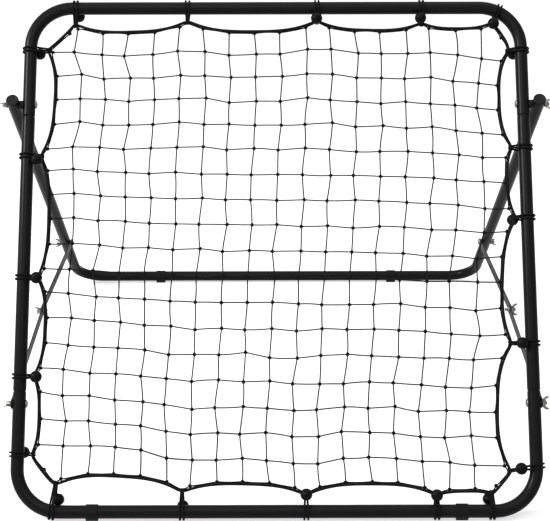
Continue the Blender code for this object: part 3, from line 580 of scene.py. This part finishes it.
def hole_cell(place, end):
    """Quads from the hole's circle to a square, half width / max(|cos|, |sin|), or to an end's circle."""
    angle = np.arange(CELL_POINTS) * 2 * np.pi / CELL_POINTS
    spoke = np.stack([np.cos(angle), np.sin(angle)], axis=1)
    reach = BAR_HALF / np.abs(spoke).max(axis=1)
    reach = np.where(spoke[:, 1] * end > 1e-9, BAR_HALF, reach)
    rows = [BAR_HOLE * spoke, (BAR_HOLE + HOLE_RING) * spoke, reach[:, None] * spoke]
    grid = np.zeros((3, CELL_POINTS, 3))
    grid[..., :2] = rows
    grid[..., 1] += place
    return skin(grid)


def plain_strip(low, high):
    """A strip between two cells, with the same points across as a cell's square side."""
    angle = np.pi / 4 + np.arange(CELL_POINTS // 4 + 1) * 2 * np.pi / CELL_POINTS
    across = BAR_HALF / np.tan(angle)
    grid = np.zeros((2, len(across), 3))
    grid[..., 0] = across
    grid[..., 1] = np.array((low, high))[:, None]
    return skin(grid, wrap_columns=False)


def bar(name, start, stop, x, holes, body):
    """A flat bar from pin to pin, with this many holes at even spaces."""
    length = np.linalg.norm(stop - start)
    places = np.linspace(0, length, holes)
    ends = [-1] + [0] * (holes - 2) + [1]
    flat = [hole_cell(place, end) for place, end in zip(places, ends)]
    flat += [plain_strip(a + BAR_HALF, b - BAR_HALF) for a, b in zip(places, places[1:])]
    along = unit(stop - start)
    square = np.cross(ACROSS, along)
    laid = []
    for points, quads, uvs in flat:
        laid.append((start + x * ACROSS + points[:, :1] * square + points[:, 1:2] * along, quads, uvs))
    made = piece(name + "_bar", laid, BAR_COAT, body, [name])
    thick = made.modifiers.new("thickness", "SOLIDIFY")
    thick.thickness = BAR_THICK
    thick.offset = 0
    edge = made.modifiers.new("eased edge", "BEVEL")
    edge.width = 0.4 * MM
    edge.segments = 2
    edge.limit_method = "ANGLE"
    edge.angle_limit = math.radians(50)


for side, sign in SIDES.items():
    bar(f"lower_stay_{side}", FRONT_PIN, ELBOW, sign * (LOWER_BAR_X + BAR_THICK / 2), 2, f"lower_stay_{side}")
    bar(f"upper_stay_{side}", REAR_PIN, ELBOW, sign * (UPPER_BAR_X + BAR_THICK / 2), 6, f"upper_stay_{side}")

# %% [markdown]
# ## Bolts and wing nuts
# Each pin is an M6 bolt with a low mushroom head inside and a wing nut outside. The wings are swept: an
# oval section follows a curve up and out of the hub, and narrows to nothing at the tip.

# %% Bolts
HEAD_RADIUS = 8 * MM
HEAD_HEIGHT = 4 * MM
SHANK = 3 * MM
PITCH = 1 * MM
THREAD = 10 * MM
RIDGE = 0.35 * MM
HUB_HEIGHT = 8 * MM
TIP = 2 * MM


def bolt(centre, out, start, stop, head=True):
    """A bolt that points outwards: dome, shank, and a thread on its last centimetre as turned ridges."""
    ridges = []
    for k in range(int(THREAD / PITCH)):
        base = stop - 0.6 * MM - k * PITCH
        ridges += [(SHANK - RIDGE, base), (SHANK, base - PITCH / 2)]
    end = [(0, stop), (SHANK - 0.7 * MM, stop)]
    shank = end + ridges + [(SHANK, ridges[-1][1] - PITCH)]
    if head:
        angle = np.linspace(0, np.pi / 2, 12)
        top = 0.8 * MM
        dome = [(HEAD_RADIUS * math.cos(a), start - top - (HEAD_HEIGHT - top) * math.sin(a)) for a in angle]
        shank += [(SHANK, start), (HEAD_RADIUS - 0.3 * MM, start), (HEAD_RADIUS, start - 0.3 * MM)] + dome
    else:
        shank += [(SHANK, start), (0, start)]
    return turned(shank, centre, out, np.array((0, 1.0, 0)), 32)


# %% Wing nuts
NUT_TURNS = {
    "hinge": {"left": 35, "right": 30},
    "upper_stay": {"left": 75, "right": 15},
    "elbow": {"left": 60, "right": 70},
    "lower_stay": {"left": 10, "right": 65},
}
WING_CURVE = np.array([(2.6, 2.9), (10.6, 3.0), (12.3, 13.6)]) * MM
WING_HALF = 2.9 * MM
WING_FLATNESS = 0.42
NUT_BORE = 3.2 * MM


def wing(seat, out, direction):
    """An oval swept along the curve from the root to the tip, as wide as the root of 1 - t^7."""
    t = np.linspace(0, 1, 26)[:, None]
    flat = curve(*WING_CURVE, t)
    path = seat + flat[:, :1] * direction + flat[:, 1:] * out
    width = WING_HALF * np.sqrt(1 - t[:, 0] ** 7)
    return skin(sweep(path, width, np.cross(out, direction), 20, capped=True, flat=WING_FLATNESS))


def wing_nut(seat, out, degrees):
    """A tapered hub with a bore, and two wings."""
    up = np.cross(out, (0, 1.0, 0))
    turn = math.radians(degrees)
    direction = math.cos(turn) * np.array((0, 1.0, 0)) + math.sin(turn) * up
    hub = eased([(NUT_BORE, 0), (6.2 * MM, 0), (6.1 * MM, 1.6 * MM), (4.8 * MM, HUB_HEIGHT),
                 (NUT_BORE, HUB_HEIGHT)], 0.5 * MM, closed=True)
    return [turned(hub, seat, out, direction, 40, closed=True), wing(seat, out, direction),
            wing(seat, out, -direction)]


LEG_FACE_X = LEG_X + TUBE_RADIUS
STACK = HUB_HEIGHT + FIT + TIP
places = {
    "hinge": (HINGE, SIDE_X - TUBE_RADIUS - FIT, LEG_FACE_X, "front_frame"),
    "upper_stay": (REAR_PIN, UPPER_BAR_X - FIT, LEG_FACE_X, "rear_support"),
    "lower_stay": (FRONT_PIN, SIDE_X - TUBE_RADIUS - FIT, LOWER_BAR_X + BAR_THICK, "front_frame"),
    "elbow": (ELBOW, LOWER_BAR_X - FIT, UPPER_BAR_X + BAR_THICK, None),
}


def plated(node, skins, body):
    """A zinc piece that takes its solid's place."""
    piece(node + "_plated", skins, ZINC, body, [node])


for name, (pin, start, seat, body) in places.items():
    for side, sign in SIDES.items():
        out = sign * ACROSS
        if name == "elbow":
            head = bolt(pin, out, start, LOWER_BAR_X + BAR_THICK)
            plated(f"elbow_bolt_head_{side}", [head], f"lower_stay_{side}")
            tip = bolt(pin, out, UPPER_BAR_X, seat + STACK, head=False)
            plated(f"elbow_bolt_tip_{side}", [tip], f"upper_stay_{side}")
        else:
            plated(f"{name}_bolt_{side}", [bolt(pin, out, start, seat + STACK)], body)
        nut = wing_nut(pin + (seat + FIT) * out, out, NUT_TURNS[name][side])
        plated(f"{name}_wing_nut_{side}", nut, f"{name}_wing_nut_{side}")

# %% [markdown]
# ## The border rope
# A braided rope runs round inside the frame. A tie holds it every 6 to 27 cm, and between ties the
# net's pull bows it inwards. Each span is a chord plus a bow of depth * (1 - |2t - 1|^3). The ties and
# the bows are uneven on the real one, so they were set one by one against the photograph. The bows are
# in millimetres, going round from the top left tie.

# %% Ties and bows
ROPE_RADIUS = 3.0 * MM
CORD_RADIUS = 2.0 * MM
LOOP_GAP = 0.3 * MM
# Each tie: how many fittings of its side it has passed, with the share of the way to the next, then in
# metres the rope's distance from the tube's middle, the ball's shift along the tube and the ball's
# distance, and 1 for a ball in front or -1 for one behind
TIES = {
    "top": [
        (0.090, 0.036, 0.003, 0.008, -1),
        (0.319, 0.029, -0.002, -0.006, -1),
        (0.584, 0.029, -0.001, 0.028, 1),
        (0.798, 0.034, -0.003, 0.027, 1),
        (0.941, 0.036, 0.002, 0.040, 1),
    ],
    "right": [
        (2.550, 0.026, 0.001, 0.012, -1),
        (1.849, 0.027, 0.004, -0.002, -1),
        (1.610, 0.024, -0.002, 0.027, -1),
        (1.193, 0.041, -0.001, 0.022, 1),
        (0.369, 0.052, 0.004, 0.030, 1),
    ],
    "bottom": [
        (2.395, 0.034, -0.004, 0.023, -1),
        (1.932, 0.032, -0.001, 0.031, 1),
        (1.579, 0.033, 0.000, 0.033, 1),
        (1.243, 0.039, 0.000, 0.010, -1),
        (0.514, 0.054, 0.004, 0.024, -1),
    ],
    "left": [
        (0.531, 0.029, 0.004, 0.007, -1),
        (1.089, 0.028, -0.002, 0.034, 1),
        (1.413, 0.030, -0.003, 0.029, 1),
        (1.822, 0.028, -0.011, 0.022, 1),
        (2.560, 0.037, 0.000, 0.015, -1),
    ],
}
BOWS = (19, 22, 17, 11, -5, 22, 12, 22, 26, -1, 5, 20, 17, 22, -3, 11, 17, 18, 20, 2)
SLIDES = {"tie_bottom_5": 3, "tie_right_5": 8}  # millimetres that a tie sits further along its tube
STAY_HEIGHT = 0.211
HEIGHTS = (0, STAY_HEIGHT, HINGE_HEIGHT, FRAME_HEIGHT)
EDGES = {
    "top": ((0, FRAME_HEIGHT), (1, 0), (0, -1), (-SIDE_X, SIDE_X)),
    "right": ((SIDE_X, 0), (0, 1), (-1, 0), HEIGHTS),
    "bottom": ((0, 0), (1, 0), (0, 1), (-SIDE_X, -FRONT_FOOT_X, FRONT_FOOT_X, SIDE_X)),
    "left": ((-SIDE_X, 0), (0, 1), (1, 0), HEIGHTS),
}


def tube_point(place):
    """The nearest point of the frame's centre line: on a straight side, or on a corner's arc."""
    half = FRAME_HEIGHT / 2
    x, y = place[0], place[1] - half
    centre = np.array((SIDE_X, half)) - FRAME_CORNER
    beyond = np.abs((x, y)) - centre
    sign = np.sign((x, y))
    if beyond.min() > 0:
        near = sign * (centre + unit(beyond) * FRAME_CORNER)
    elif beyond[0] > beyond[1]:
        near = np.array((sign[0] * SIDE_X, y))
    else:
        near = np.array((x, sign[1] * half))
    return near + (0, half)


holds = []
for side, (end, along, inwards, fittings) in EDGES.items():
    end, along, inwards = np.array(end, float), np.array(along, float), np.array(inwards, float)
    for number, (passed, inset, ball_along, ball_inset, front) in enumerate(TIES[side], 1):
        rope_at = end + np.interp(passed, range(len(fittings)), fittings) * along + inset * inwards
        ball_at = rope_at + ball_along * along + (ball_inset - inset) * inwards
        name = f"tie_{side}_{number}"
        slid = rope_at + SLIDES.get(name, 0) * MM * along
        holds.append((name, tube_point(slid), rope_at, ball_at, front))


# %% Rope path
def rope_path(holds, per_span=90):
    """The closed rope in the frame's plane: flat for 6 mm at each tie, and bowed in between."""
    flat = 6 * MM
    ways = [unit(rope - tube) for name, tube, rope, ball, front in holds]
    clockwise = [np.array((-way[1], way[0])) for way in ways]
    spans = []
    for k, bow in enumerate(BOWS):
        following = (k + 1) % len(holds)
        start = holds[k][2] + flat / 2 * clockwise[k]
        stop = holds[following][2] - flat / 2 * clockwise[following]
        chord = stop - start
        inwards = unit(np.array((chord[1], -chord[0])))
        t = np.linspace(0, 1, per_span)[:, None]
        spans.append(start + t * chord + bow * MM * (1 - np.abs(2 * t - 1) ** 3) * inwards)
    path = np.concatenate(spans)
    for _ in range(6):  # a stiff rope rounds its kinks
        path = (np.roll(path, 1, axis=0) + 2 * path + np.roll(path, -1, axis=0)) / 4
    return path


def even(path, step):
    """The same closed path with points at even steps."""
    ring = np.concatenate([path, path[:1]])
    walked = np.concatenate([[0], np.cumsum(np.linalg.norm(np.diff(ring, axis=0), axis=1))])
    places = np.linspace(0, walked[-1], int(walked[-1] / step), endpoint=False)
    return np.stack([np.interp(places, walked, ring[:, k]) for k in range(ring.shape[1])], axis=1)


def in_frame(flat, out=0.0):
    """Points of the frame's plane, and a height out of it, as points in the room."""
    flat = np.asarray(flat)
    lift = np.expand_dims(out, -1) * FRAME_FACE
    return FRAME_FOOT + flat[..., :1] * ACROSS + flat[..., 1:2] * UP_FRAME + lift


ROPE_STEP = 2.5 * MM
ROPE = even(rope_path(holds), ROPE_STEP)
ROPE_INWARDS = unit(np.roll(ROPE, -1, axis=0) - np.roll(ROPE, 1, axis=0))[:, ::-1] * (1, -1)
rope_rings = sweep(in_frame(ROPE, np.zeros(len(ROPE))), ROPE_RADIUS, FRAME_FACE, 14, closed=True)
rope = skin(rope_rings, wrap_rows=True)
piece("border_rope_braid", [rope], ROPE_FIBRE, "front_frame", ["border_rope"])
print("The border rope is", round(len(ROPE) * ROPE_STEP, 2), "m long")

# %% [markdown]
# ## The net
# The net is black twine, knotted into 18 by 18 square meshes of about 52 mm, with a tight lump where two
# twines cross. The strands are not quite straight, and the sheet sags back a little, by a guess of 6 mm.
# The rope is threaded through the edge meshes, so the outermost strands run along its inner side, over
# and under by turns.

# %% Knots
MESHES = 18
TWINE = 1.4 * MM
SAG = 6 * MM
random = np.random.default_rng(11)

# The net's middle, and the way from a knot to the next one across and the next one up: a least squares
# fit of an even net to the knots' places in the photograph
NET_MIDDLE = np.array((-0.0038, 0.5192))
ACROSS_STEP = np.array((0.05167, -0.00132))
UP_STEP = np.array((0.00194, 0.05226))
# The middle and the pitch of the knots along the rope on each side, read off the photograph
TOP_KNOTS = (0.0075, 0.0527)
BOTTOM_KNOTS = (-0.0165, 0.0508)
LEFT_KNOTS = (0.5355, 0.05045)
RIGHT_KNOTS = (0.5045, 0.0518)
steps = np.arange(MESHES + 1) - MESHES / 2
share = np.arange(MESHES + 1) / MESHES
i, j = np.meshgrid(steps, steps, indexing="ij")
even_net = NET_MIDDLE + i[..., None] * ACROSS_STEP + j[..., None] * UP_STEP


def crossing(axis, level, positive):
    """The number of the rope's point where the rope crosses a level of x or y on one side."""
    other = 1 - axis
    gap = np.abs(ROPE[:, axis] - level)
    side = ROPE[:, other] > ROPE[:, other].mean()
    return int(np.argmin(np.where(side == positive, gap, np.inf)))


last = MESHES
inner = slice(1, last)
border = {}
for k, step in enumerate(steps[inner], 1):
    border[0, k] = crossing(1, LEFT_KNOTS[0] + step * LEFT_KNOTS[1], False)
    border[last, k] = crossing(1, RIGHT_KNOTS[0] + step * RIGHT_KNOTS[1], True)
    border[k, 0] = crossing(0, BOTTOM_KNOTS[0] + step * BOTTOM_KNOTS[1], False)
    border[k, last] = crossing(0, TOP_KNOTS[0] + step * TOP_KNOTS[1], True)
for a in (0, last):
    for b in (0, last):
        border[a, b] = int(np.argmin(np.linalg.norm(ROPE - even_net[a, b], axis=1)))

# A knot stands further off the rope where the rope turns sharply, beside a tie
KNOT_INSET = ROPE_RADIUS + 1.6 * MM
TIE_INSET = 3.2 * MM
TIE_REACH = 20 * MM
to_tie = np.linalg.norm(ROPE[:, None] - np.array([hold[2] for hold in holds]), axis=-1).min(axis=1)
ROPE_INSET = KNOT_INSET + TIE_INSET * np.exp(-((to_tie / TIE_REACH) ** 2))
ends = np.zeros_like(even_net)
for (a, b), place in border.items():
    ends[a, b] = ROPE[place] + ROPE_INSET[place] * ROPE_INWARDS[place] - even_net[a, b]

# %% [markdown]
# The border pulls the net out of square. A strand's end tugs it lengthwise, which is felt far into the
# net, and sideways, which is felt for a mesh or two. The real net is also out of shape in a smooth way
# whose cause a picture can't tell. The creep stands for it: its ten coefficients come from a second
# least squares fit to the same knots. Knots also sit a little to one side and the other by turns, by
# what the first fit left over, and each wanders at random so that the net isn't too even.

# %% Pull and creep
LENGTHWISE = 4
SIDEWAYS = 20
WANDER = 1.5  # millimetres, as are the next two
BY_TURNS = (1.4, 0.7)
near, far = (1 - share)[:, None, None], share[:, None, None]
tug = near ** (LENGTHWISE, SIDEWAYS) * ends[:1] + far ** (LENGTHWISE, SIDEWAYS) * ends[-1:]
near, far = near.swapaxes(0, 1), far.swapaxes(0, 1)
tug += near ** (SIDEWAYS, LENGTHWISE) * ends[:, :1] + far ** (SIDEWAYS, LENGTHWISE) * ends[:, -1:]


def creep(x, y):
    """Millimetres right and up, as sums of x, y, their products and their cubes, from -1 to 1."""
    right = 2.8 * x + 6.1 * y - 4.1 * y**3 + (9.6 - 7.0 * x**2) * x * y
    rise = 11.1 * y - 5.1 * y**3 - 8.6 * x**2 * y + 4.1 * x - 9.1 * x**3
    return np.stack([right, rise], axis=-1)


by_turns = np.where((i + j) % 2, 1.0, -1.0)[..., None] * BY_TURNS
wander = random.normal(0, WANDER, even_net.shape)
reach = MESHES / 2 - 1
knots = even_net + tug + (creep(i / reach, j / reach) + by_turns + wander) * MM
for a, b in border:
    knots[a, b] = even_net[a, b] + ends[a, b]
print("The net is", MESHES * ACROSS_STEP[0], "by", MESHES * UP_STEP[1], "m")


NET_EDGE = (0.05, 0.06)  # from the tube's middle to the net, across and up


def sag(flat):
    """How far the net hangs back: deepest in the middle, nothing at its border."""
    x = np.clip(np.abs(flat[..., 0]) / (SIDE_X - NET_EDGE[0]), 0, 1)
    y = np.clip(np.abs(flat[..., 1] - FRAME_HEIGHT / 2) / (FRAME_HEIGHT / 2 - NET_EDGE[1]), 0, 1)
    return -SAG * (1 - x**2) * (1 - y**2)


# %% Strands
STRAND_BOW = 0.5 * MM


def strands(start, stop, segments=6):
    """Straight strands with a random bow in the net's plane: chord + bow * 4t(1 - t) * normal."""
    t = np.linspace(0, 1, segments + 1)[None, :, None]
    chord = stop - start
    normal = unit(np.stack([-chord[:, 1], chord[:, 0]], axis=1))
    bow = random.normal(0, STRAND_BOW, (len(start), 1, 1))
    flat = start[:, None] + t * chord[:, None] + bow * 4 * t * (1 - t) * normal[:, None]
    return in_frame(flat, sag(flat))


upright = strands(knots[inner, :-1].reshape(-1, 2), knots[inner, 1:].reshape(-1, 2))
level = strands(knots[:-1, inner].reshape(-1, 2), knots[1:, inner].reshape(-1, 2))
twines = np.concatenate([upright, level])
net_skins = [skin(sweep(twines, TWINE, FRAME_FACE, 6, capped=True))]


# %% Border strands
SWING = 0.2 * np.pi


def border_strand(a, b, facing):
    """Along the inner side of the rope, a little over it or under it, as it is threaded through the meshes.

    At a share t of the way the strand is at the angle facing * swing * sin(pi t) from the rope's
    inner side. Its distance from the rope's middle eases from the knot's to a touch.
    """
    span = (b - a) % len(ROPE)
    t = np.linspace(0, 1, 21)
    place = (a + np.round(t * span).astype(int)) % len(ROPE)
    ends = ROPE_INSET[a] + (ROPE_INSET[b] - ROPE_INSET[a]) * t
    touch = ROPE_RADIUS + 0.8 * TWINE
    reach = touch + (ends - touch) * np.abs(2 * t - 1) ** 3
    turn = facing * SWING * np.sin(np.pi * t)
    return in_frame(ROPE[place] + (reach * np.cos(turn))[:, None] * ROPE_INWARDS[place], reach * np.sin(turn))


ring = [(0, k) for k in range(last)] + [(k, last) for k in range(last)]
ring += [(last, last - k) for k in range(last)] + [(last - k, 0) for k in range(last)]
following = ring[1:] + ring[:1]
edge = np.array([border_strand(border[a], border[b], (-1) ** k)
                 for k, (a, b) in enumerate(zip(ring, following))])
net_skins.append(skin(sweep(edge, TWINE, FRAME_FACE, 6, capped=True)))


# %% Knot lumps
LUMP = 1.0 * MM
LUMP_TWINE = 1.75 * MM


def knot_lumps(centres):
    """A tightened overhand knot: a trefoil, (2 + cos 3t) * (cos 2t, sin 2t) and sin 3t out of the plane."""
    t = np.linspace(0, 2 * np.pi, 15, endpoint=False)
    spin = random.uniform(0, 2 * np.pi, len(centres))[:, None]
    reach = (2 + np.cos(3 * t)) * LUMP
    flat = centres[:, None] + np.stack([reach * np.cos(2 * t + spin), reach * np.sin(2 * t + spin)], axis=-1)
    lift = LUMP * np.sin(3 * t) + sag(flat)
    return sweep(in_frame(flat, lift), LUMP_TWINE, FRAME_FACE, 4, closed=True)


net_skins.append(skin(knot_lumps(knots.reshape(-1, 2)), wrap_rows=True))
piece("net_twine", net_skins, TWINE_FIBRE, "front_frame", ["net"], crease=80)
print("The net has", len(twines) + len(edge), "strands and", knots.size // 2, "knots")

# %% [markdown]
# ## Ties
# Each tie is a loop of elastic cord, threaded through a ball. Two strands go round the tube and the rope
# side by side, spread on the tube and drawn together at the rope. The loop is a belt round two wheels:
# two arcs and two straight runs that touch them. The ball is a turned profile, 24 mm across, that leans
# on the tube or the rope.


# %% Tie cords
SPREAD_AT_TUBE = 3.7 * MM
SPREAD_AT_ROPE = 2.05 * MM


def tie_axes(tube, rope):
    """From tube to rope: the distance, the way there, and the way square to it in the frame's plane."""
    distance = np.linalg.norm(rope - tube)
    away = unit(rope - tube)
    return distance, away, np.array((away[1], -away[0]))


def belt(distance, points=18):
    """A belt round the tube, at the origin, and the rope, this far along x, as x and y."""
    tube = TUBE_RADIUS + LOOP_GAP + CORD_RADIUS
    rope = ROPE_RADIUS + LOOP_GAP + CORD_RADIUS
    lean = math.acos((tube - rope) / distance)
    far = np.linspace(lean, 2 * np.pi - lean, 3 * points)
    near = np.linspace(-lean, lean, points)
    wheel = tube * np.stack([np.cos(far), np.sin(far)], axis=1)
    hook = rope * np.stack([np.cos(near), np.sin(near)], axis=1) + (distance, 0)
    t = np.linspace(0, 1, 12)[1:-1, None]
    there = wheel[-1] + t * (hook[0] - wheel[-1])
    back = hook[-1] + t * (wheel[0] - hook[-1])
    return np.concatenate([wheel, there, hook, back])


def tie_cords(tube, rope):
    """Two belts side by side, closer together towards the rope."""
    distance, away, along = tie_axes(tube, rope)
    flat = belt(distance)
    share = np.clip(flat[:, 0] / distance, 0, 1)
    spread = SPREAD_AT_TUBE + (SPREAD_AT_ROPE - SPREAD_AT_TUBE) * smooth(share)
    cords = []
    for sign in (-1, 1):
        place = tube + flat[:, :1] * away + sign * spread[:, None] * along
        path = in_frame(place, flat[:, 1])
        up = along[0] * ACROSS + along[1] * UP_FRAME
        cords.append(skin(sweep(path, CORD_RADIUS, up, 10, closed=True), wrap_rows=True))
    return cords


# %% Balls
BALL_RADIUS = 12 * MM
LINE_HEIGHT = 0.012  # of the mould's line, as is its width, in shares of the radius
LINE_WIDTH = 0.03


def ball(centre, axis):
    """A sphere with the parting line of its mould, and a dimple where the cord comes through."""
    angle = np.linspace(-np.pi / 2, np.pi / 2, 45)
    radius = BALL_RADIUS * (1 + LINE_HEIGHT * np.exp(-((angle / LINE_WIDTH) ** 2)))
    hole = 2.6 * MM
    width = radius * np.cos(angle)
    height = radius * np.sin(angle)
    keep = width > hole
    profile = np.stack([width[keep], height[keep]], axis=1)
    top = profile[-1, 1]
    dimple = np.array([(hole * 0.94, top - 0.25 * MM), (hole * 0.8, top - 1.5 * MM), (0, top - 1.7 * MM)])
    profile = np.concatenate([dimple[::-1] * (1, -1), profile, dimple])
    return turned(profile, centre, axis, np.cross(axis, FRAME_FACE), 40)


def ball_place(tube, rope, centre, front):
    """Where the ball rests: far enough out of the frame's plane to touch the tube, rope and net."""
    distance, away, along = tie_axes(tube, rope)
    offset = np.clip((centre - tube) @ along, -0.85 * BALL_RADIUS, 0.85 * BALL_RADIUS)
    reach = (centre - tube) @ away
    tube_clear = TUBE_RADIUS + BALL_RADIUS + 3 * LOOP_GAP
    rope_clear = ROPE_RADIUS + BALL_RADIUS + LOOP_GAP
    lift = np.sqrt(max(tube_clear**2 - reach**2, rope_clear**2 - (distance - reach) ** 2, 0))
    if reach + BALL_RADIUS > distance:
        lift = max(lift, BALL_RADIUS + 1.3 * MM)
    return in_frame(tube + reach * away + offset * along, front * lift)


# A folded lower stay lies over three of the ties and presses them flat against the tube; here each of these
# ties only gets a mesh of its own
PRESSED = {"tie_left_2": "left", "tie_left_3": "left", "tie_right_4": "right"}

for name, tube, rope, centre, front in holds:
    cords = piece(name + "_cords", tie_cords(tube, rope), ELASTIC_FIBRE, "front_frame", [name])
    if name in PRESSED:
        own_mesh(cords)
    way = unit(rope - tube)
    made = ball(ball_place(tube, rope, centre, front), way[0] * ACROSS + way[1] * UP_FRAME)
    piece(name + "_ball", [made], BALL_PLASTIC, "front_frame")
print(len(holds), "ties")

# %% [markdown]
# ## Floor, light and camera
# The floor and the world are white to the camera, as in a catalogue picture. A wide lamp overhead
# lights the tops. A far one, high on the left, draws the pale line down the upright tubes, and one above
# the camera draws it along the level ones. A weak one in front opens the shadows. The camera stands two
# metres in front, a metre and a half up, and looks down 25 degrees, as a fit to the photograph gave.

# %% Floor
def seen_white(tree):
    """1 for rays that look at the backdrop, straight, by a reflection or through a clear thing."""
    path = add(tree, "LightPath")
    gloss = add(tree, "Math", {0: path.outputs["Is Camera Ray"], 1: path.outputs["Is Glossy Ray"]},
                operation="MAXIMUM")
    return add(tree, "Math", {0: gloss.outputs[0], 1: path.outputs["Is Transmission Ray"]},
               operation="MAXIMUM").outputs[0]


FLOOR_HALF = 4
FLOOR_DROP = 0.5 * MM
corners = [(x * FLOOR_HALF, y * FLOOR_HALF, -FLOOR_DROP) for y in (-1, 1) for x in (-1, 1)]
floor_mesh = bpy.data.meshes.new("floor")
floor_mesh.from_pydata(corners, [], [(0, 1, 3, 2)])
floor = placed("floor", floor_mesh)
FLOOR_WHITE, tree, shader = new_finish("white_floor", "#bcbcbc", 0.9)
shader.inputs["Emission Color"].default_value = linear("#ffffff")
glow = add(tree, "Math", {0: seen_white(tree), 1: 0.60}, operation="MULTIPLY")
tree.links.new(glow.outputs[0], shader.inputs["Emission Strength"])
floor_mesh.materials.append(FLOOR_WHITE)

# %% World and lamps
world = bpy.data.worlds.new("studio")
bpy.context.scene.world = world
world.use_nodes = True
tree = world.node_tree
tree.nodes.clear()
white = add(tree, "Background", {"Color": (1, 1, 1, 1), "Strength": 1.0})
room = add(tree, "Background", {"Color": (1, 1, 1, 1), "Strength": 0.5})
mixed = add(tree, "MixShader", {0: seen_white(tree), 1: room.outputs[0], 2: white.outputs[0]})
add(tree, "OutputWorld", {"Surface": mixed.outputs[0]})


def lamp(name, place, target, size, power):
    """A square soft lamp that faces a point."""
    light = bpy.data.lights.new(name, "AREA")
    light.shape = "SQUARE"
    light.size = size
    light.energy = power
    made = placed(name, light)
    place, target = np.array(place, float), np.array(target, float)
    back = unit(place - target)
    right = unit(np.cross((0, 0, 1), back))
    made.matrix_world = Matrix(np.vstack([np.column_stack([right, np.cross(back, right), back, place]),
                                          (0, 0, 0, 1)]).tolist())


lamp("overhead", (0.2, 0.1, 3.0), (0, 0.1, 0.4), 2.4, 35)
lamp("left_high", (-4.9, -1.46, 3.95), (0, -0.1, 0.6), 1.05, 500)
lamp("front_high", (-0.4, -2.0, 2.9), (0, 0, 0.4), 1.2, 26)
lamp("front", (0.6, -3.2, 1.6), (0, -0.2, 0.4), 1.6, 6)

# %% Camera
PITCH_DOWN = 24.96
YAW = 0.066
ROLL = -0.089
FOCAL_PIXELS = 1210
IMAGE_WIDTH = 550
SENSOR = 36
FROM_FRAME_FOOT = (-0.0055, -1.9439, 1.4479)
camera_data = bpy.data.cameras.new("camera")
camera_data.sensor_width = SENSOR
camera_data.lens = SENSOR * FOCAL_PIXELS / IMAGE_WIDTH
camera = placed("camera", camera_data)
look = Matrix.Rotation(math.radians(-YAW), 4, "Z") @ Matrix.Rotation(math.radians(90 - PITCH_DOWN), 4, "X")
look = look @ Matrix.Rotation(math.radians(ROLL), 4, "Z")
stand = FRAME_FOOT + FROM_FRAME_FOOT
camera.matrix_world = Matrix.Translation(stand.tolist()) @ look
bpy.context.scene.camera = camera
bpy.context.scene.view_settings.view_transform = "Standard"
